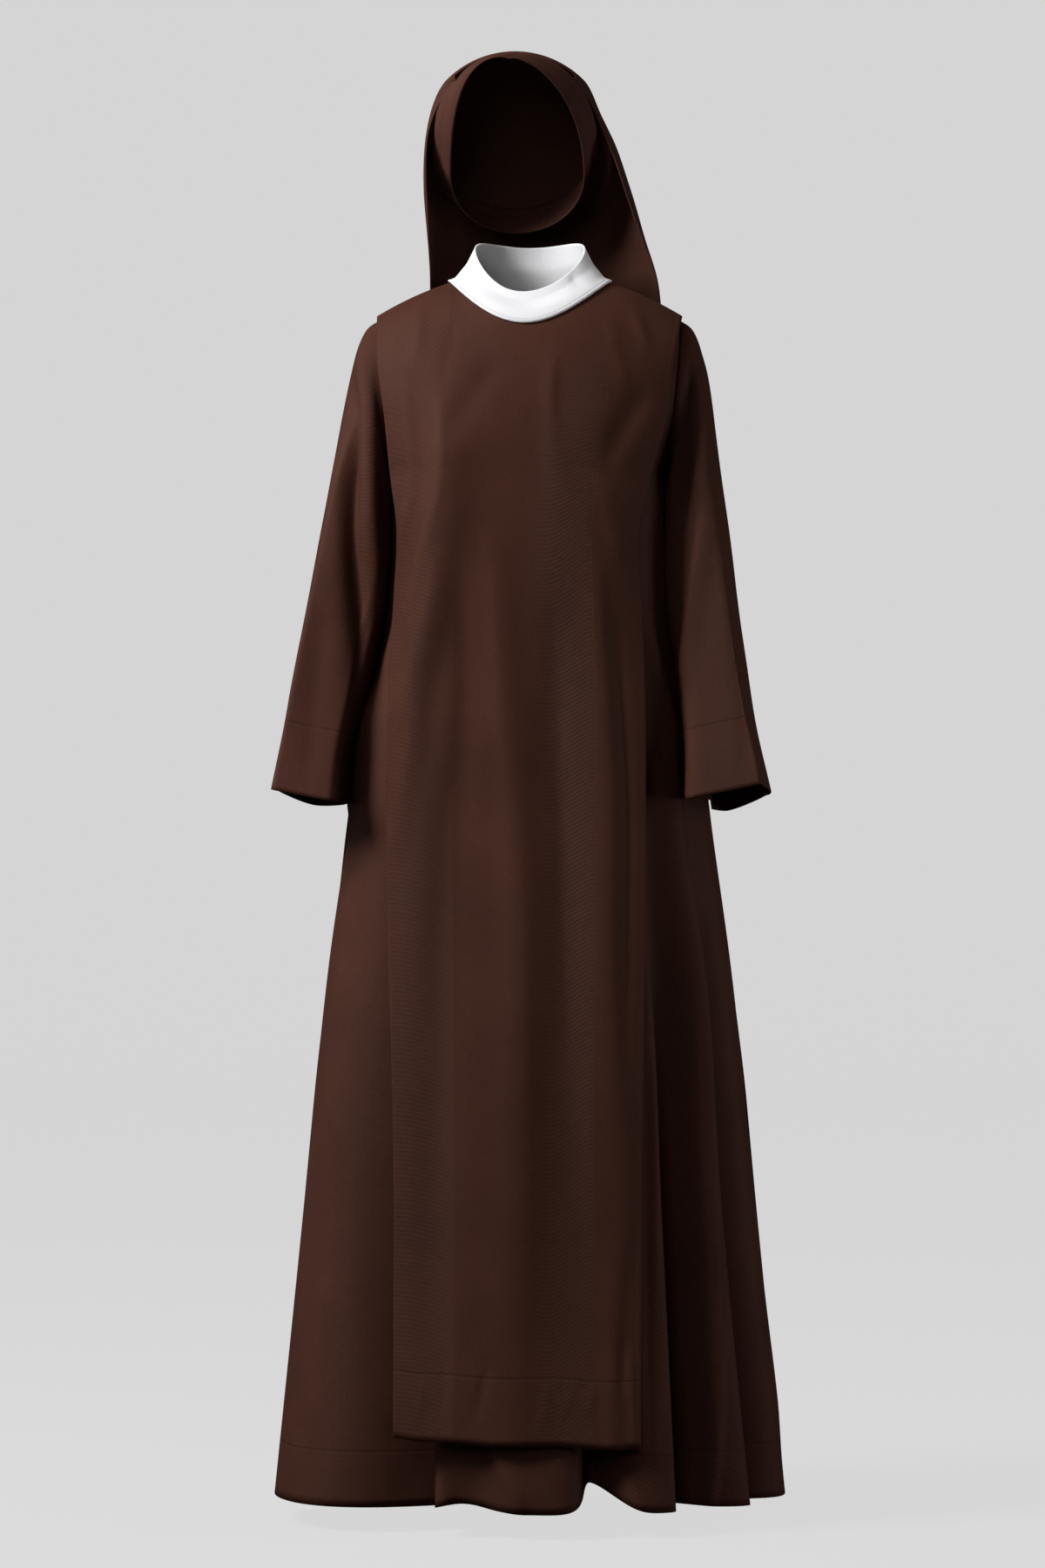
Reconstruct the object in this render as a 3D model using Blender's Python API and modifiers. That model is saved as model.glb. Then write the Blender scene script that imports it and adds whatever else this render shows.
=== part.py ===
"""Nun's habit as it hangs when worn: tunic, scapular, collar, band and veil.

Each piece is an open sheet of points, worked out row by row from named sizes, and Solidify gives
it the thickness of its cloth. The sheet is the inner face of the wall, and on the sleeves, which
slip in at the armholes, the outer face.

The frame: X towards the wearer's left, Y towards the back, Z up, in metres. The origin lies at
the base of the neck, midway between the shoulders.
"""
import bpy
import numpy as np

# Cloth and gaps
CLOTH = 0.0018  # wall of the brown cloth
COLLAR_CLOTH = 0.0016  # wall of the white cloth
SEAM = 0.0004  # gap between two pieces where they are sewn together
LAYER = 0.0046  # from the inner face of the tunic to that of the scapular
SPREAD = 0.030  # how much flatter than the tunic the scapular runs towards its edges

# Shoulders and chest
SHOULDER_TOP = 0.0285  # height of the shoulder ridge, carried on to the middle of the neck
SHOULDER_FALL = 1.73  # the ridge falls by this times the square of the distance from the middle
SHOULDER_HALF = 0.170  # from the middle to the top of the armhole
UNDERARM_HALF = 0.157
UNDERARM_Z = -0.200
PLAN_ROUND = 2.25  # exponent of the body's outline seen from above
ARMHOLE_DEEP = 0.872  # place of the armhole's top across the chest, as a share of its half width
ROUND = {"front": 2.0, "back": 2.6}  # exponent of the curve over the shoulder, seen from the side
FACING = {"front": -1.0, "back": 1.0}
NECK_HALF = 0.088
NECK_DEPTH = {"front": 0.0855, "back": 0.0745}
HEM_Z = -1.3665
SCAPULAR_HEM_Z = -1.286
SCAPULAR_HEM_SLANT = 0.036  # fall of the scapular's hem towards the wearer's left, per metre

# Rows of the grids
YOKE_ROWS = 6
TUNIC_ROWS = 12
TUNIC_COLUMNS = {"front": 50, "back": 36}
NECK_SHARE = 0.55  # share of a panel's columns that starts on the neckline
SCAPULAR_ROWS = 10
SCAPULAR_COLUMNS = 22
SLEEVE_ROWS = 10
SLEEVE_COLUMNS = 18
COLLAR_COLUMNS = 36
BAND_COLUMNS = 24
VEIL_ROWS = 16
VEIL_COLUMNS = 20

# Colours, as the cloth shows in even light
BROWN = (0.070, 0.034, 0.025)
WHITE = (0.85, 0.85, 0.86)


def table(columns, *rows):
    """A short table as one array for each named column."""
    return dict(zip(columns.split(), np.array(rows, float).T))


# Half width, front depth and back depth of the tunic at each level below the arms
LEVELS = table(
    "z half front back",
    (-0.200, 0.157, 0.127, 0.117),
    (-0.300, 0.162, 0.130, 0.118),
    (-0.395, 0.171, 0.132, 0.121),
    (-0.485, 0.191, 0.138, 0.129),
    (-0.620, 0.209, 0.150, 0.146),
    (-0.755, 0.2275, 0.164, 0.163),
    (-1.055, 0.2585, 0.192, 0.199),
    (HEM_Z, 0.2910, 0.222, 0.236),
)

# Folds of the skirt. Each is a trough that runs down from "start": "hem" and "top" are its
# places round the body in degrees from the middle of the front towards the wearer's left,
# "before" and "after" the widths of its two flanks in degrees, "depth" is at the hem.
FOLDS = table(
    "hem top start depth before after",
    (-29.5, -30.0, -0.50, 0.047, 17.0, 8.0),
    (-12.0, -12.0, -1.10, 0.022, 7.0, 8.0),
    (14.5, 13.0, -0.80, 0.056, 4.5, 4.5),
    (40.0, 42.0, -0.38, 0.069, 5.0, 8.0),
    (66.0, 62.0, -0.42, 0.058, 5.0, 8.0),
    (104.0, 104.0, -0.50, 0.040, 7.0, 6.0),
    (131.0, 128.0, -0.36, 0.052, 7.0, 8.0),
    (158.0, 162.0, -0.44, 0.046, 8.0, 7.0),
    (187.0, 184.0, -0.33, 0.054, 7.0, 8.0),
    (210.0, 208.0, -0.46, 0.042, 7.0, 7.0),
    (233.0, 232.0, -0.38, 0.050, 8.0, 6.0),
    (254.0, 252.0, -0.52, 0.034, 6.0, 6.0),
)
FOLD_GROWTH = 1.15  # how the depth grows from the start of a fold to the hem
HEM_LIFT = table("place width lift", (15.0, 5.0, 0.030), (-14.0, 8.0, 0.010), (40.0, 6.0, 0.004))

# Side edges of the scapular, as distances from the middle. "right" is the wearer's right.
SCAPULAR_EDGES = table(
    "z right left",
    (-0.020, 0.1745, 0.1745),
    (-0.077, 0.1730, 0.1630),
    (-0.142, 0.1643, 0.1535),
    (-0.2085, 0.1573, 0.1346),
    (-0.267, 0.1500, 0.1215),
    (-0.340, 0.1530, 0.1235),
    (-0.400, 0.1565, 0.1270),
    (-0.650, 0.1600, 0.1297),
    (-0.990, 0.1525, 0.1245),
    (SCAPULAR_HEM_Z, 0.1520, 0.1226),
)

# Sections of the sleeves from the shoulder to the cuff: the outer and inner ends of each, then
# how far forward its middle lies and half its depth
SLEEVE_COLUMNS_NAMED = "outer outer_z inner inner_z forward depth"
SLEEVES = {
    "left": table(
        SLEEVE_COLUMNS_NAMED,
        (0.1700, -0.020, 0.1610, -0.200, 0.000, 0.059),
        (0.1870, -0.034, 0.1625, -0.222, 0.000, 0.062),
        (0.1985, -0.066, 0.1625, -0.246, 0.002, 0.065),
        (0.2085, -0.122, 0.1600, -0.284, 0.005, 0.067),
        (0.2180, -0.192, 0.1580, -0.330, 0.009, 0.069),
        (0.2310, -0.290, 0.1600, -0.390, 0.018, 0.071),
        (0.2430, -0.390, 0.1670, -0.450, 0.030, 0.073),
        (0.2570, -0.485, 0.1735, -0.515, 0.044, 0.075),
        (0.2745, -0.567, 0.1735, -0.572, 0.060, 0.077),
    ),
    "right": table(
        SLEEVE_COLUMNS_NAMED,
        (0.1700, -0.020, 0.1610, -0.200, 0.000, 0.059),
        (0.1880, -0.034, 0.1625, -0.222, 0.000, 0.062),
        (0.2005, -0.066, 0.1640, -0.246, 0.002, 0.065),
        (0.2130, -0.122, 0.1640, -0.284, 0.004, 0.067),
        (0.2260, -0.192, 0.1650, -0.330, 0.007, 0.069),
        (0.2440, -0.290, 0.1690, -0.390, 0.013, 0.071),
        (0.2620, -0.390, 0.1810, -0.450, 0.022, 0.073),
        (0.2790, -0.485, 0.1990, -0.515, 0.033, 0.075),
        (0.2937, -0.561, 0.2045, -0.578, 0.045, 0.077),
    ),
}
SIDE = {"left": 1.0, "right": -1.0}
SLEEVE_ROUND = 2.3
CUFF_RISE = {"left": 0.0125, "right": 0.0}  # of the front of the cuff's rim at its crease
CUFF_FALL = {"left": 0.017, "right": 0.010}  # of the back of the cuff's rim

# Section of a sleeve's pressed lower part, from its outer side round the front: each corner is
# given as shares of the half sizes, and the cloth runs straight from one to the next
PRESSED = {
    "left": table(
        "turn across fore",
        (0.0, 1.00, 0.20),
        (20.0, 0.90, 0.50),
        (40.0, 0.69, 1.00),
        (60.0, 0.50, 1.00),
        (140.0, -0.84, 0.90),
        (160.0, -0.97, 0.74),
        (180.0, -1.00, 0.05),
        (225.0, -0.74, -0.76),
        (270.0, 0.05, -1.00),
        (315.0, 0.82, -0.68),
        (360.0, 1.00, 0.20),
    ),
    "right": table(
        "turn across fore",
        (0.0, 1.00, 0.00),
        (20.0, 1.00, 0.50),
        (40.0, 0.96, 0.86),
        (120.0, -0.50, 1.00),
        (140.0, -0.76, 0.90),
        (160.0, -0.96, 0.44),
        (180.0, -1.00, 0.00),
        (225.0, -0.80, -0.74),
        (270.0, 0.00, -1.00),
        (315.0, 0.84, -0.78),
        (360.0, 1.00, 0.00),
    ),
}
SLEEVE_CLEAR = 0.0055  # from the inner face of the tunic to a sleeve that lies on it

# Collar: its upper ring round the neck and its lower ring on the scapular
COLLAR_TOP = {"half": 0.0615, "front": 0.064, "back": 0.062}
COLLAR_LOW = {"half": 0.0935, "front": 0.0955, "back": 0.080}
COLLAR_LEAN = 0.005  # how far its front lies towards the wearer's right
COLLAR_INSET = 0.009  # width of its lower part that lies flat on the scapular
COLLAR_RISE = (0.058, -0.0315, -0.0235)  # height of the upper ring, by powers of the cosine
COLLAR_GAP = 0.0010  # from the scapular to the collar's flat part
COLLAR_WAIST = 0.0015  # how far the middle of the collar is drawn in

# Head: the middle of the band and of the veil
HEAD_X = -0.0170

# Band: rings from the edge at the face to the back edge. "middle" is the height of the widest
# place, "up" and "down" reach from there, and the last two give how far back top and foot lie.
BAND_RINGS = table(
    "half middle up down top_y foot_y",
    (0.0735, 0.145, 0.1265, 0.060, -0.060, 0.072),
    (0.0930, 0.168, 0.1090, 0.067, -0.046, 0.089),
    (0.0905, 0.188, 0.0895, 0.072, -0.028, 0.101),
)
BAND_ROUND = 2.1

# Veil: each row runs from one front edge round the head or back to the other. It is an arc about
# the centre (ky, kz) that passes through (py, pz) in the middle and ends at the angle "wrap";
# "right" and "left" are its half widths on the wearer's right and left.
VEIL_ARCS = table(
    "ky kz py pz wrap right left",
    (-0.012, 0.178, -0.034, 0.2796, 50.0, 0.1040, 0.1040),
    (-0.020, 0.178, 0.014, 0.2845, 60.0, 0.1050, 0.1060),
    (-0.022, 0.168, 0.062, 0.2700, 73.0, 0.1060, 0.1080),
    (-0.012, 0.146, 0.102, 0.2360, 84.0, 0.1055, 0.1200),
    (0.004, 0.115, 0.122, 0.1800, 90.0, 0.1035, 0.1320),
    (0.012, 0.070, 0.128, 0.1200, 90.0, 0.1005, 0.1475),
    (0.038, 0.026, 0.131, 0.0600, 90.0, 0.0970, 0.1630),
    (0.086, -0.026, 0.129, -0.0050, 90.0, 0.0985, 0.1700),
    (0.104, -0.090, 0.122, -0.0800, 90.0, 0.1060, 0.1740),
    (0.106, -0.180, 0.118, -0.1750, 90.0, 0.1150, 0.1770),
    (0.112, -0.290, 0.122, -0.2880, 90.0, 0.1220, 0.1790),
    (0.120, -0.420, 0.132, -0.4200, 90.0, 0.1270, 0.1800),
)
VEIL_TURN = 0.0095  # how far the veil's front edges turn in beside the face
VEIL_WIDER = 0.035  # share that it is wider there just behind those edges
VEIL_CLEAR = 0.0009  # from the back of the scapular to the veil's inner face

# Ridges of the veil: place across it from -1 to 1, width, depth at the hem and first row
VEIL_RIDGES = table(
    "place width depth start",
    (-0.72, 0.13, 0.012, 5.0),
    (-0.30, 0.12, 0.015, 4.0),
    (0.08, 0.12, 0.013, 5.0),
    (0.42, 0.12, 0.016, 4.0),
    (0.78, 0.12, 0.012, 5.0),
)


def ease(t):
    """A soft step from 0 to 1."""
    t = np.clip(t, 0.0, 1.0)
    return t * t * (3.0 - 2.0 * t)


def curve(keys, values, at):
    """Smooth curve through a table's values: a cubic between rows, sloped by its neighbours."""
    order = np.argsort(keys)
    keys, values = keys[order], values[order]
    slope = np.gradient(values, keys)
    at = np.clip(at, keys[0], keys[-1])
    i = np.clip(np.searchsorted(keys, at) - 1, 0, len(keys) - 2)
    step = keys[i + 1] - keys[i]
    t = (at - keys[i]) / step
    start = (1 + 2 * t) * (1 - t) ** 2 * values[i] + t * (1 - t) ** 2 * step * slope[i]
    end = t * t * (3 - 2 * t) * values[i + 1] + t * t * (t - 1) * step * slope[i + 1]
    return start + end


def bend(share, power):
    """Quarter of a rounded outline: 0 at share 0 with an upright start, 1 at share 1."""
    return (1.0 - (1.0 - np.clip(share, 0.0, 1.0)) ** power) ** (1.0 / power)


def ridge(x):
    """Height of the shoulder ridge."""
    return SHOULDER_TOP - SHOULDER_FALL * x * x


def edge_height(drop):
    """Height on the armhole's edge at a drop of 0 (shoulder) to 1 (underarm)."""
    return ridge(SHOULDER_HALF) + (UNDERARM_Z - ridge(SHOULDER_HALF)) * drop


def arm_half(drop):
    """Distance of the armhole's edge from the middle."""
    return SHOULDER_HALF + (UNDERARM_HALF - SHOULDER_HALF) * ease(drop)


def chest_half(drop):
    """Half width of the chest's full outline, which the armhole's edge meets at the underarm."""
    return arm_half(drop) / (ARMHOLE_DEEP + (1.0 - ARMHOLE_DEEP) * drop**2.5)


def depth(side, x, z, drop, out, spread):
    """Distance of the body's surface from the middle plane, before the shoulder's curve."""
    yoke = chest_half(drop)
    skirt = curve(LEVELS["z"], LEVELS["half"], z)
    half = np.where(z > UNDERARM_Z, yoke, skirt) + out + spread
    reach = curve(LEVELS["z"], LEVELS[side], z) + out
    share = np.clip(np.abs(x) / half, 0.0, 1.0)
    return reach * (1.0 - share**PLAN_ROUND) ** (1.0 / PLAN_ROUND)


def surface(side, x, z, out, spread):
    """Distance from the middle plane of the point of the body's surface at x and z."""
    top = ridge(x) + out
    drop = np.clip((top - z) / (top - UNDERARM_Z), 0.0, 1.0)
    return depth(side, x, z, drop, out, spread) * bend(drop, ROUND[side])


def lie_on(x, y, out, spread):
    """Height of the shoulder's surface at x and y, found by a few repeated steps."""
    z = ridge(x) + out
    top = z.copy()
    for side, facing in FACING.items():
        drop = np.full_like(x, 0.1)
        for _ in range(8):
            reach = depth(side, x, np.full_like(x, -0.1), drop, out, spread)
            share = np.clip(np.abs(y) / reach, 0.0, 0.999)
            drop = 1.0 - (1.0 - share ** ROUND[side]) ** (1.0 / ROUND[side])
        on_side = y * facing > 0.0
        z = np.where(on_side, top - (top - UNDERARM_Z) * drop, z)
    return z


def top_places(places, shoulder):
    """Places of the columns on the top edge: even steps round the neckline and on the seams."""
    count = len(places) - 1
    neck_steps = 2 * round(count * NECK_SHARE / 2)
    seam_steps = (count - neck_steps) // 2
    seam = np.linspace(NECK_HALF, shoulder.max(), seam_steps + 1)[1:]
    neckline = NECK_HALF * np.sin(np.linspace(-np.pi / 2.0, np.pi / 2.0, neck_steps + 1))
    x = np.concatenate([-seam[::-1], neckline, seam])
    return x / shoulder.max() * np.sign(places[-1])


def panel(side, places, edge, out, spread, hem, yoke_rows, skirt_rows):
    """Sheet from the shoulder seam and neckline down to the hem.

    A column at place s (-1 to 1) runs at s times the panel's edge. Over the shoulder it follows
    a quarter of a rounded outline by the angle a: the drop is 1 - cos(a)^(2/m), the distance
    from the middle plane is the body's depth times sin(a)^(2/m). Below the arms it goes down in
    equal steps on the body's levels.
    """
    power = ROUND[side]
    high_places = top_places(places, edge(edge_height(0.0), places))
    x_top = high_places * edge(edge_height(0.0), places)
    open_share = np.clip(1.0 - (x_top / NECK_HALF) ** 2, 0.0, 1.0)
    neck = NECK_DEPTH[side] * np.sqrt(open_share)
    reach = depth(side, x_top, np.full_like(x_top, 0.0), 0.0, out, spread)
    neck_drop = 1.0 - (1.0 - (neck / reach) ** power) ** (1.0 / power)
    first = np.arccos((1.0 - neck_drop) ** (power / 2.0))
    t = np.linspace(0.0, 1.0, yoke_rows + 1)[:, None]
    angle = first + (np.pi / 2.0 - first) * t
    drop = 1.0 - np.maximum(np.cos(angle), 0.0) ** (2.0 / power)
    yoke_places = high_places + (places - high_places) * ease(t)
    x = yoke_places * edge(edge_height(drop), places)
    top = ridge(x) + out
    z = top + (UNDERARM_Z - top) * drop
    y = depth(side, x, z, drop, out, spread) * np.sin(angle) ** (2.0 / power)
    t = np.linspace(0.0, 1.0, skirt_rows + 1)[1:, None]
    low_z = UNDERARM_Z + (hem - UNDERARM_Z) * t
    low_x = places * edge(low_z, places)
    low_y = depth(side, low_x, low_z, np.ones_like(low_z), out, spread)
    y = FACING[side] * (np.vstack([y, low_y]) + SEAM / 2.0)
    return np.stack([np.vstack([x, low_x]), y, np.vstack([z, low_z])], axis=-1)


def tunic_edge(height, places):
    """Half width of the tunic's panels: the armhole's edge, then the side seam."""
    drop = (ridge(SHOULDER_HALF) - height) / (ridge(SHOULDER_HALF) - UNDERARM_Z)
    below = curve(LEVELS["z"], LEVELS["half"], height)
    return np.where(height > UNDERARM_Z, arm_half(np.clip(drop, 0.0, 1.0)), below)


def scapular_edge(height, places):
    """Half width of the scapular, on the wearer's right where the place is negative."""
    right = curve(SCAPULAR_EDGES["z"], SCAPULAR_EDGES["right"], height)
    left = curve(SCAPULAR_EDGES["z"], SCAPULAR_EDGES["left"], height)
    return np.where(places < 0.0, right, left)


def from_fold(angle, place):
    """Signed angle from a fold to a place round the body, both in degrees."""
    return (angle - place + 180.0) % 360.0 - 180.0


def fold_depth(angle, z):
    """How far the folds draw the skirt in: the sum of uneven bell curves, one for each fold."""
    total = np.zeros(np.broadcast(angle, z).shape)
    for hem, top, start, deep, before, after in zip(*FOLDS.values()):
        grown = np.clip((start - z) / (start - HEM_Z), 0.0, None)
        away = from_fold(angle, top + (hem - top) * np.minimum(grown, 1.0))
        flank = np.where(away < 0.0, before, after)
        total = total + deep * grown**FOLD_GROWTH * np.exp(-((away / flank) ** 2))
    return total


def fold_columns(low, high, count):
    """Angles of the columns, closer together where a fold is."""
    fine = np.linspace(low, high, 721)
    crowd = np.ones_like(fine)
    for place, before, after in zip(FOLDS["hem"], FOLDS["before"], FOLDS["after"]):
        crowd = crowd + 14.0 / (before + after) * np.exp(-((from_fold(fine, place) / 11.0) ** 2))
    travelled = np.concatenate([[0.0], np.cumsum((crowd[1:] + crowd[:-1]) / 2.0)])
    steps = np.linspace(0.0, travelled[-1], count + 1)
    return np.interp(steps, travelled, fine)


def tunic_panel(side):
    """Front or back panel of the tunic, with the folds drawn in towards the body's axis."""
    low, high = (-90.0, 90.0) if side == "front" else (90.0, 270.0)
    angle = fold_columns(low, high, TUNIC_COLUMNS[side])
    sine = np.sin(np.radians(angle))
    places = np.sign(sine) * np.abs(sine) ** (2.0 / PLAN_ROUND)
    hem = np.full_like(angle, HEM_Z)
    for place, width, lift in zip(*HEM_LIFT.values()):
        hem = hem + lift * np.exp(-((from_fold(angle, place) / width) ** 2))
    grid = panel(side, places, tunic_edge, 0.0, 0.0, hem, YOKE_ROWS, TUNIC_ROWS)
    drawn = fold_depth(angle, grid[..., 2])
    radius = np.hypot(grid[..., 0], grid[..., 1])
    grid[..., :2] *= (1.0 - drawn / radius)[..., None]
    return grid


def scapular_panel(side):
    """Front or back panel of the scapular: the tunic's surface moved out, and flatter."""
    places = np.linspace(-1.0, 1.0, SCAPULAR_COLUMNS + 1) * -FACING[side]
    hem = SCAPULAR_HEM_Z - SCAPULAR_HEM_SLANT * (places + 1.0) * SCAPULAR_EDGES["left"][-1]
    return panel(side, places, scapular_edge, LAYER, SPREAD, hem, YOKE_ROWS, SCAPULAR_ROWS)


def armhole(round_angle):
    """The armhole as a loop: top at 0, front at a quarter turn, underarm at half a turn."""
    drop = (1.0 - np.cos(round_angle)) / 2.0
    x = arm_half(drop)
    z = edge_height(drop)
    front = np.sin(round_angle) > 0.0
    reach = {}
    for side in FACING:
        reach[side] = depth(side, x, z, drop, 0.0, 0.0) * bend(drop, ROUND[side])
    y = np.where(front, -reach["front"], reach["back"])
    # At the underarm the sleeve's wall lies outside the tunic's
    clear = SEAM + 0.0040 * drop**1.5
    return np.stack([x + clear, y, z], axis=-1)


def sleeve(hand):
    """Sleeve as a tube of sections, started from the shape of the armhole.

    A section is an oval |cos|^(2/n), |sin|^(2/n) at the shoulder and goes over to the straight
    runs between the pressed corners towards the cuff.
    """
    sections = SLEEVES[hand]
    turn = np.linspace(0.0, 2.0 * np.pi, SLEEVE_COLUMNS, endpoint=False)
    station = np.arange(len(sections["outer"]), dtype=float)
    at = np.linspace(0.0, station[-1], SLEEVE_ROWS + 1)[:, None]
    part = {name: curve(station, column, at) for name, column in sections.items()}
    across = np.sign(np.cos(turn)) * np.abs(np.cos(turn)) ** (2.0 / SLEEVE_ROUND)
    fore = np.sign(np.sin(turn)) * np.abs(np.sin(turn)) ** (2.0 / SLEEVE_ROUND)
    # Rounded at the shoulder, pressed flat towards the cuff
    corners, degrees = PRESSED[hand], np.degrees(turn)
    pressed = ease((at - 2.2) / 4.8)
    across = across + (np.interp(degrees, corners["turn"], corners["across"]) - across) * pressed
    fore = fore + (np.interp(degrees, corners["turn"], corners["fore"]) - fore) * pressed
    x = (part["outer"] + part["inner"]) / 2.0 + (part["outer"] - part["inner"]) / 2.0 * across
    z = (part["outer_z"] + part["inner_z"]) / 2.0 + (part["outer_z"] - part["inner_z"]) / 2.0 * across
    rise = CUFF_RISE[hand] * np.maximum(fore, 0.0) * (1.0 + across) / 1.66
    fall = CUFF_FALL[hand] * np.maximum(-fore, 0.0) * (1.0 - across**2)
    z = z + (rise - fall) * ease(at / station[-1])
    y = -part["forward"] - part["depth"] * fore
    grid = np.stack([x, y, z], axis=-1)
    blend = (1.0 - ease(at / 3.0))[..., None]
    grid = grid + (armhole(turn) - grid[0]) * blend
    grid = clear_of_tunic(grid)
    grid[..., 0] *= SIDE[hand]
    return grid if hand == "left" else grid[:, ::-1]


def clear_of_tunic(grid):
    """Moves points that would lie inside the tunic out to just beyond its side."""
    x, y, z = grid[..., 0], grid[..., 1], grid[..., 2]
    half = curve(LEVELS["z"], LEVELS["half"], z) + SLEEVE_CLEAR
    front = curve(LEVELS["z"], LEVELS["front"], z)
    back = curve(LEVELS["z"], LEVELS["back"], z)
    reach = np.where(y < 0.0, front, back) + SLEEVE_CLEAR
    level = ((x / half) ** PLAN_ROUND + (np.abs(y) / reach) ** PLAN_ROUND) ** (1.0 / PLAN_ROUND)
    push = 1.0 + (np.maximum(1.0 / level, 1.0) - 1.0) * ease((UNDERARM_Z - z) / 0.02)
    return grid * np.stack([push, push, np.ones_like(push)], axis=-1)


def ring(turn, sizes):
    """Points round the neck: front at 0, the wearer's left at a quarter turn."""
    cosine = np.cos(turn)
    reach = np.where(cosine > 0.0, sizes["front"], sizes["back"])
    lean = COLLAR_LEAN * np.maximum(cosine, 0.0) ** 2
    return sizes["half"] * np.sin(turn) - lean, -reach * cosine


def collar():
    """Collar: the top ring goes round the neck, the two lowest lie on the scapular."""
    turn = np.linspace(0.0, 2.0 * np.pi, COLLAR_COLUMNS, endpoint=False)
    top_x, top_y = ring(turn, COLLAR_TOP)
    cosine = np.cos(turn)
    top_z = COLLAR_RISE[0] + COLLAR_RISE[1] * cosine + COLLAR_RISE[2] * cosine**2
    low_x, low_y = ring(turn, COLLAR_LOW)
    inward = 1.0 - COLLAR_INSET / np.hypot(low_x, low_y)
    flat = []
    for share in (inward, 1.0):
        x, y = low_x * share, low_y * share
        z = lie_on(x, y, LAYER + CLOTH + COLLAR_GAP, SPREAD)
        flat.append(np.stack([x, y, z], axis=-1))
    top = np.stack([top_x, top_y, top_z], axis=-1)
    middle = (top + flat[0]) / 2.0
    middle[:, :2] *= (1.0 - COLLAR_WAIST / np.hypot(middle[:, 0], middle[:, 1]))[:, None]
    return np.stack([top, middle, *flat])


def veil_band():
    """Band: rings about the face, flattened ovals that lean back from the brow to the nape."""
    turn = np.linspace(0.0, 2.0 * np.pi, BAND_COLUMNS, endpoint=False)
    sine = np.sign(np.sin(turn)) * np.abs(np.sin(turn)) ** (2.0 / BAND_ROUND)
    cosine = np.sign(np.cos(turn)) * np.abs(np.cos(turn)) ** (2.0 / BAND_ROUND)
    rows = []
    for half, middle, up, down, top_y, foot_y in zip(*BAND_RINGS.values()):
        x = HEAD_X - half * sine
        z = middle + np.where(cosine > 0.0, up, down) * cosine
        y = top_y + (foot_y - top_y) * (1.0 - cosine) / 2.0
        rows.append(np.stack([x, y, z], axis=-1))
    return np.stack(rows)


def veil():
    """Veil: arcs from the crown to the hem on the back, with ridges that grow towards the hem."""
    station = np.arange(len(VEIL_ARCS["ky"]), dtype=float)
    at = np.linspace(0.0, station[-1], VEIL_ROWS + 1)[:, None]
    arc = {name: curve(station, column, at) for name, column in VEIL_ARCS.items()}
    place = np.linspace(1.0, -1.0, VEIL_COLUMNS + 1)
    angle = np.radians(arc["wrap"]) * place
    x = HEAD_X + np.where(place < 0.0, arc["right"], arc["left"]) * np.sin(angle)
    y = arc["ky"] + (arc["py"] - arc["ky"]) * np.cos(angle)
    z = arc["kz"] + (arc["pz"] - arc["kz"]) * np.cos(angle)
    for spot, width, deep, start in zip(*VEIL_RIDGES.values()):
        grown = np.clip((at - start) / (station[-1] - start), 0.0, None)
        y = y + deep * grown * np.exp(-(((place - spot) / width) ** 2))
    # The front edges turn in to the band
    near = ease(at / 1.5) * ease((6.5 - at) / 2.5)
    turned = VEIL_TURN * ease((np.abs(place) - 0.80) / 0.20) * near
    x = x * (1.0 + VEIL_WIDER * near) - turned * np.sign(place)
    behind = surface("back", x, z, LAYER + CLOTH + VEIL_CLEAR, SPREAD)
    y = np.where(behind > 0.0, np.maximum(y, behind), y)
    return np.stack([x, y, z], axis=-1)


def material(name, colour, roughness):
    """Matt cloth of one colour."""
    cloth = bpy.data.materials.new(name)
    cloth.use_nodes = True
    shader = cloth.node_tree.nodes["Principled BSDF"]
    shader.inputs["Base Color"].default_value = (*colour, 1.0)
    shader.inputs["Roughness"].default_value = roughness
    shader.inputs["Metallic"].default_value = 0.0
    return cloth


def sew(name, grid, wall, collection, finish, tube=False):
    """Object from a grid of points, with its wall on one side.

    Rows run down. Where the columns run from left to right seen from outside, the wall lies
    outside the grid, and where they run the other way, as on the sleeves, inside it.
    """
    rows, columns = grid.shape[:2]
    index = np.arange(rows * columns).reshape(rows, columns)
    following = np.roll(index, -1, axis=1)
    if not tube:
        index, following = index[:, :-1], following[:, :-1]
    corners = [index[:-1], index[1:], following[1:], following[:-1]]
    faces = np.stack(corners, axis=-1).reshape(-1, 4)
    mesh = bpy.data.meshes.new(name)
    mesh.from_pydata(grid.reshape(-1, 3).tolist(), [], faces.tolist())
    mesh.shade_smooth()
    mesh.materials.append(finish)
    piece = bpy.data.objects.new(name, mesh)
    collection.objects.link(piece)
    solid = piece.modifiers.new("wall", "SOLIDIFY")
    solid.thickness = wall
    solid.offset = 1.0
    return piece


def clear_scene():
    """Removes whatever the scene holds."""
    for thing in list(bpy.data.objects):
        bpy.data.objects.remove(thing, do_unlink=True)


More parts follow.
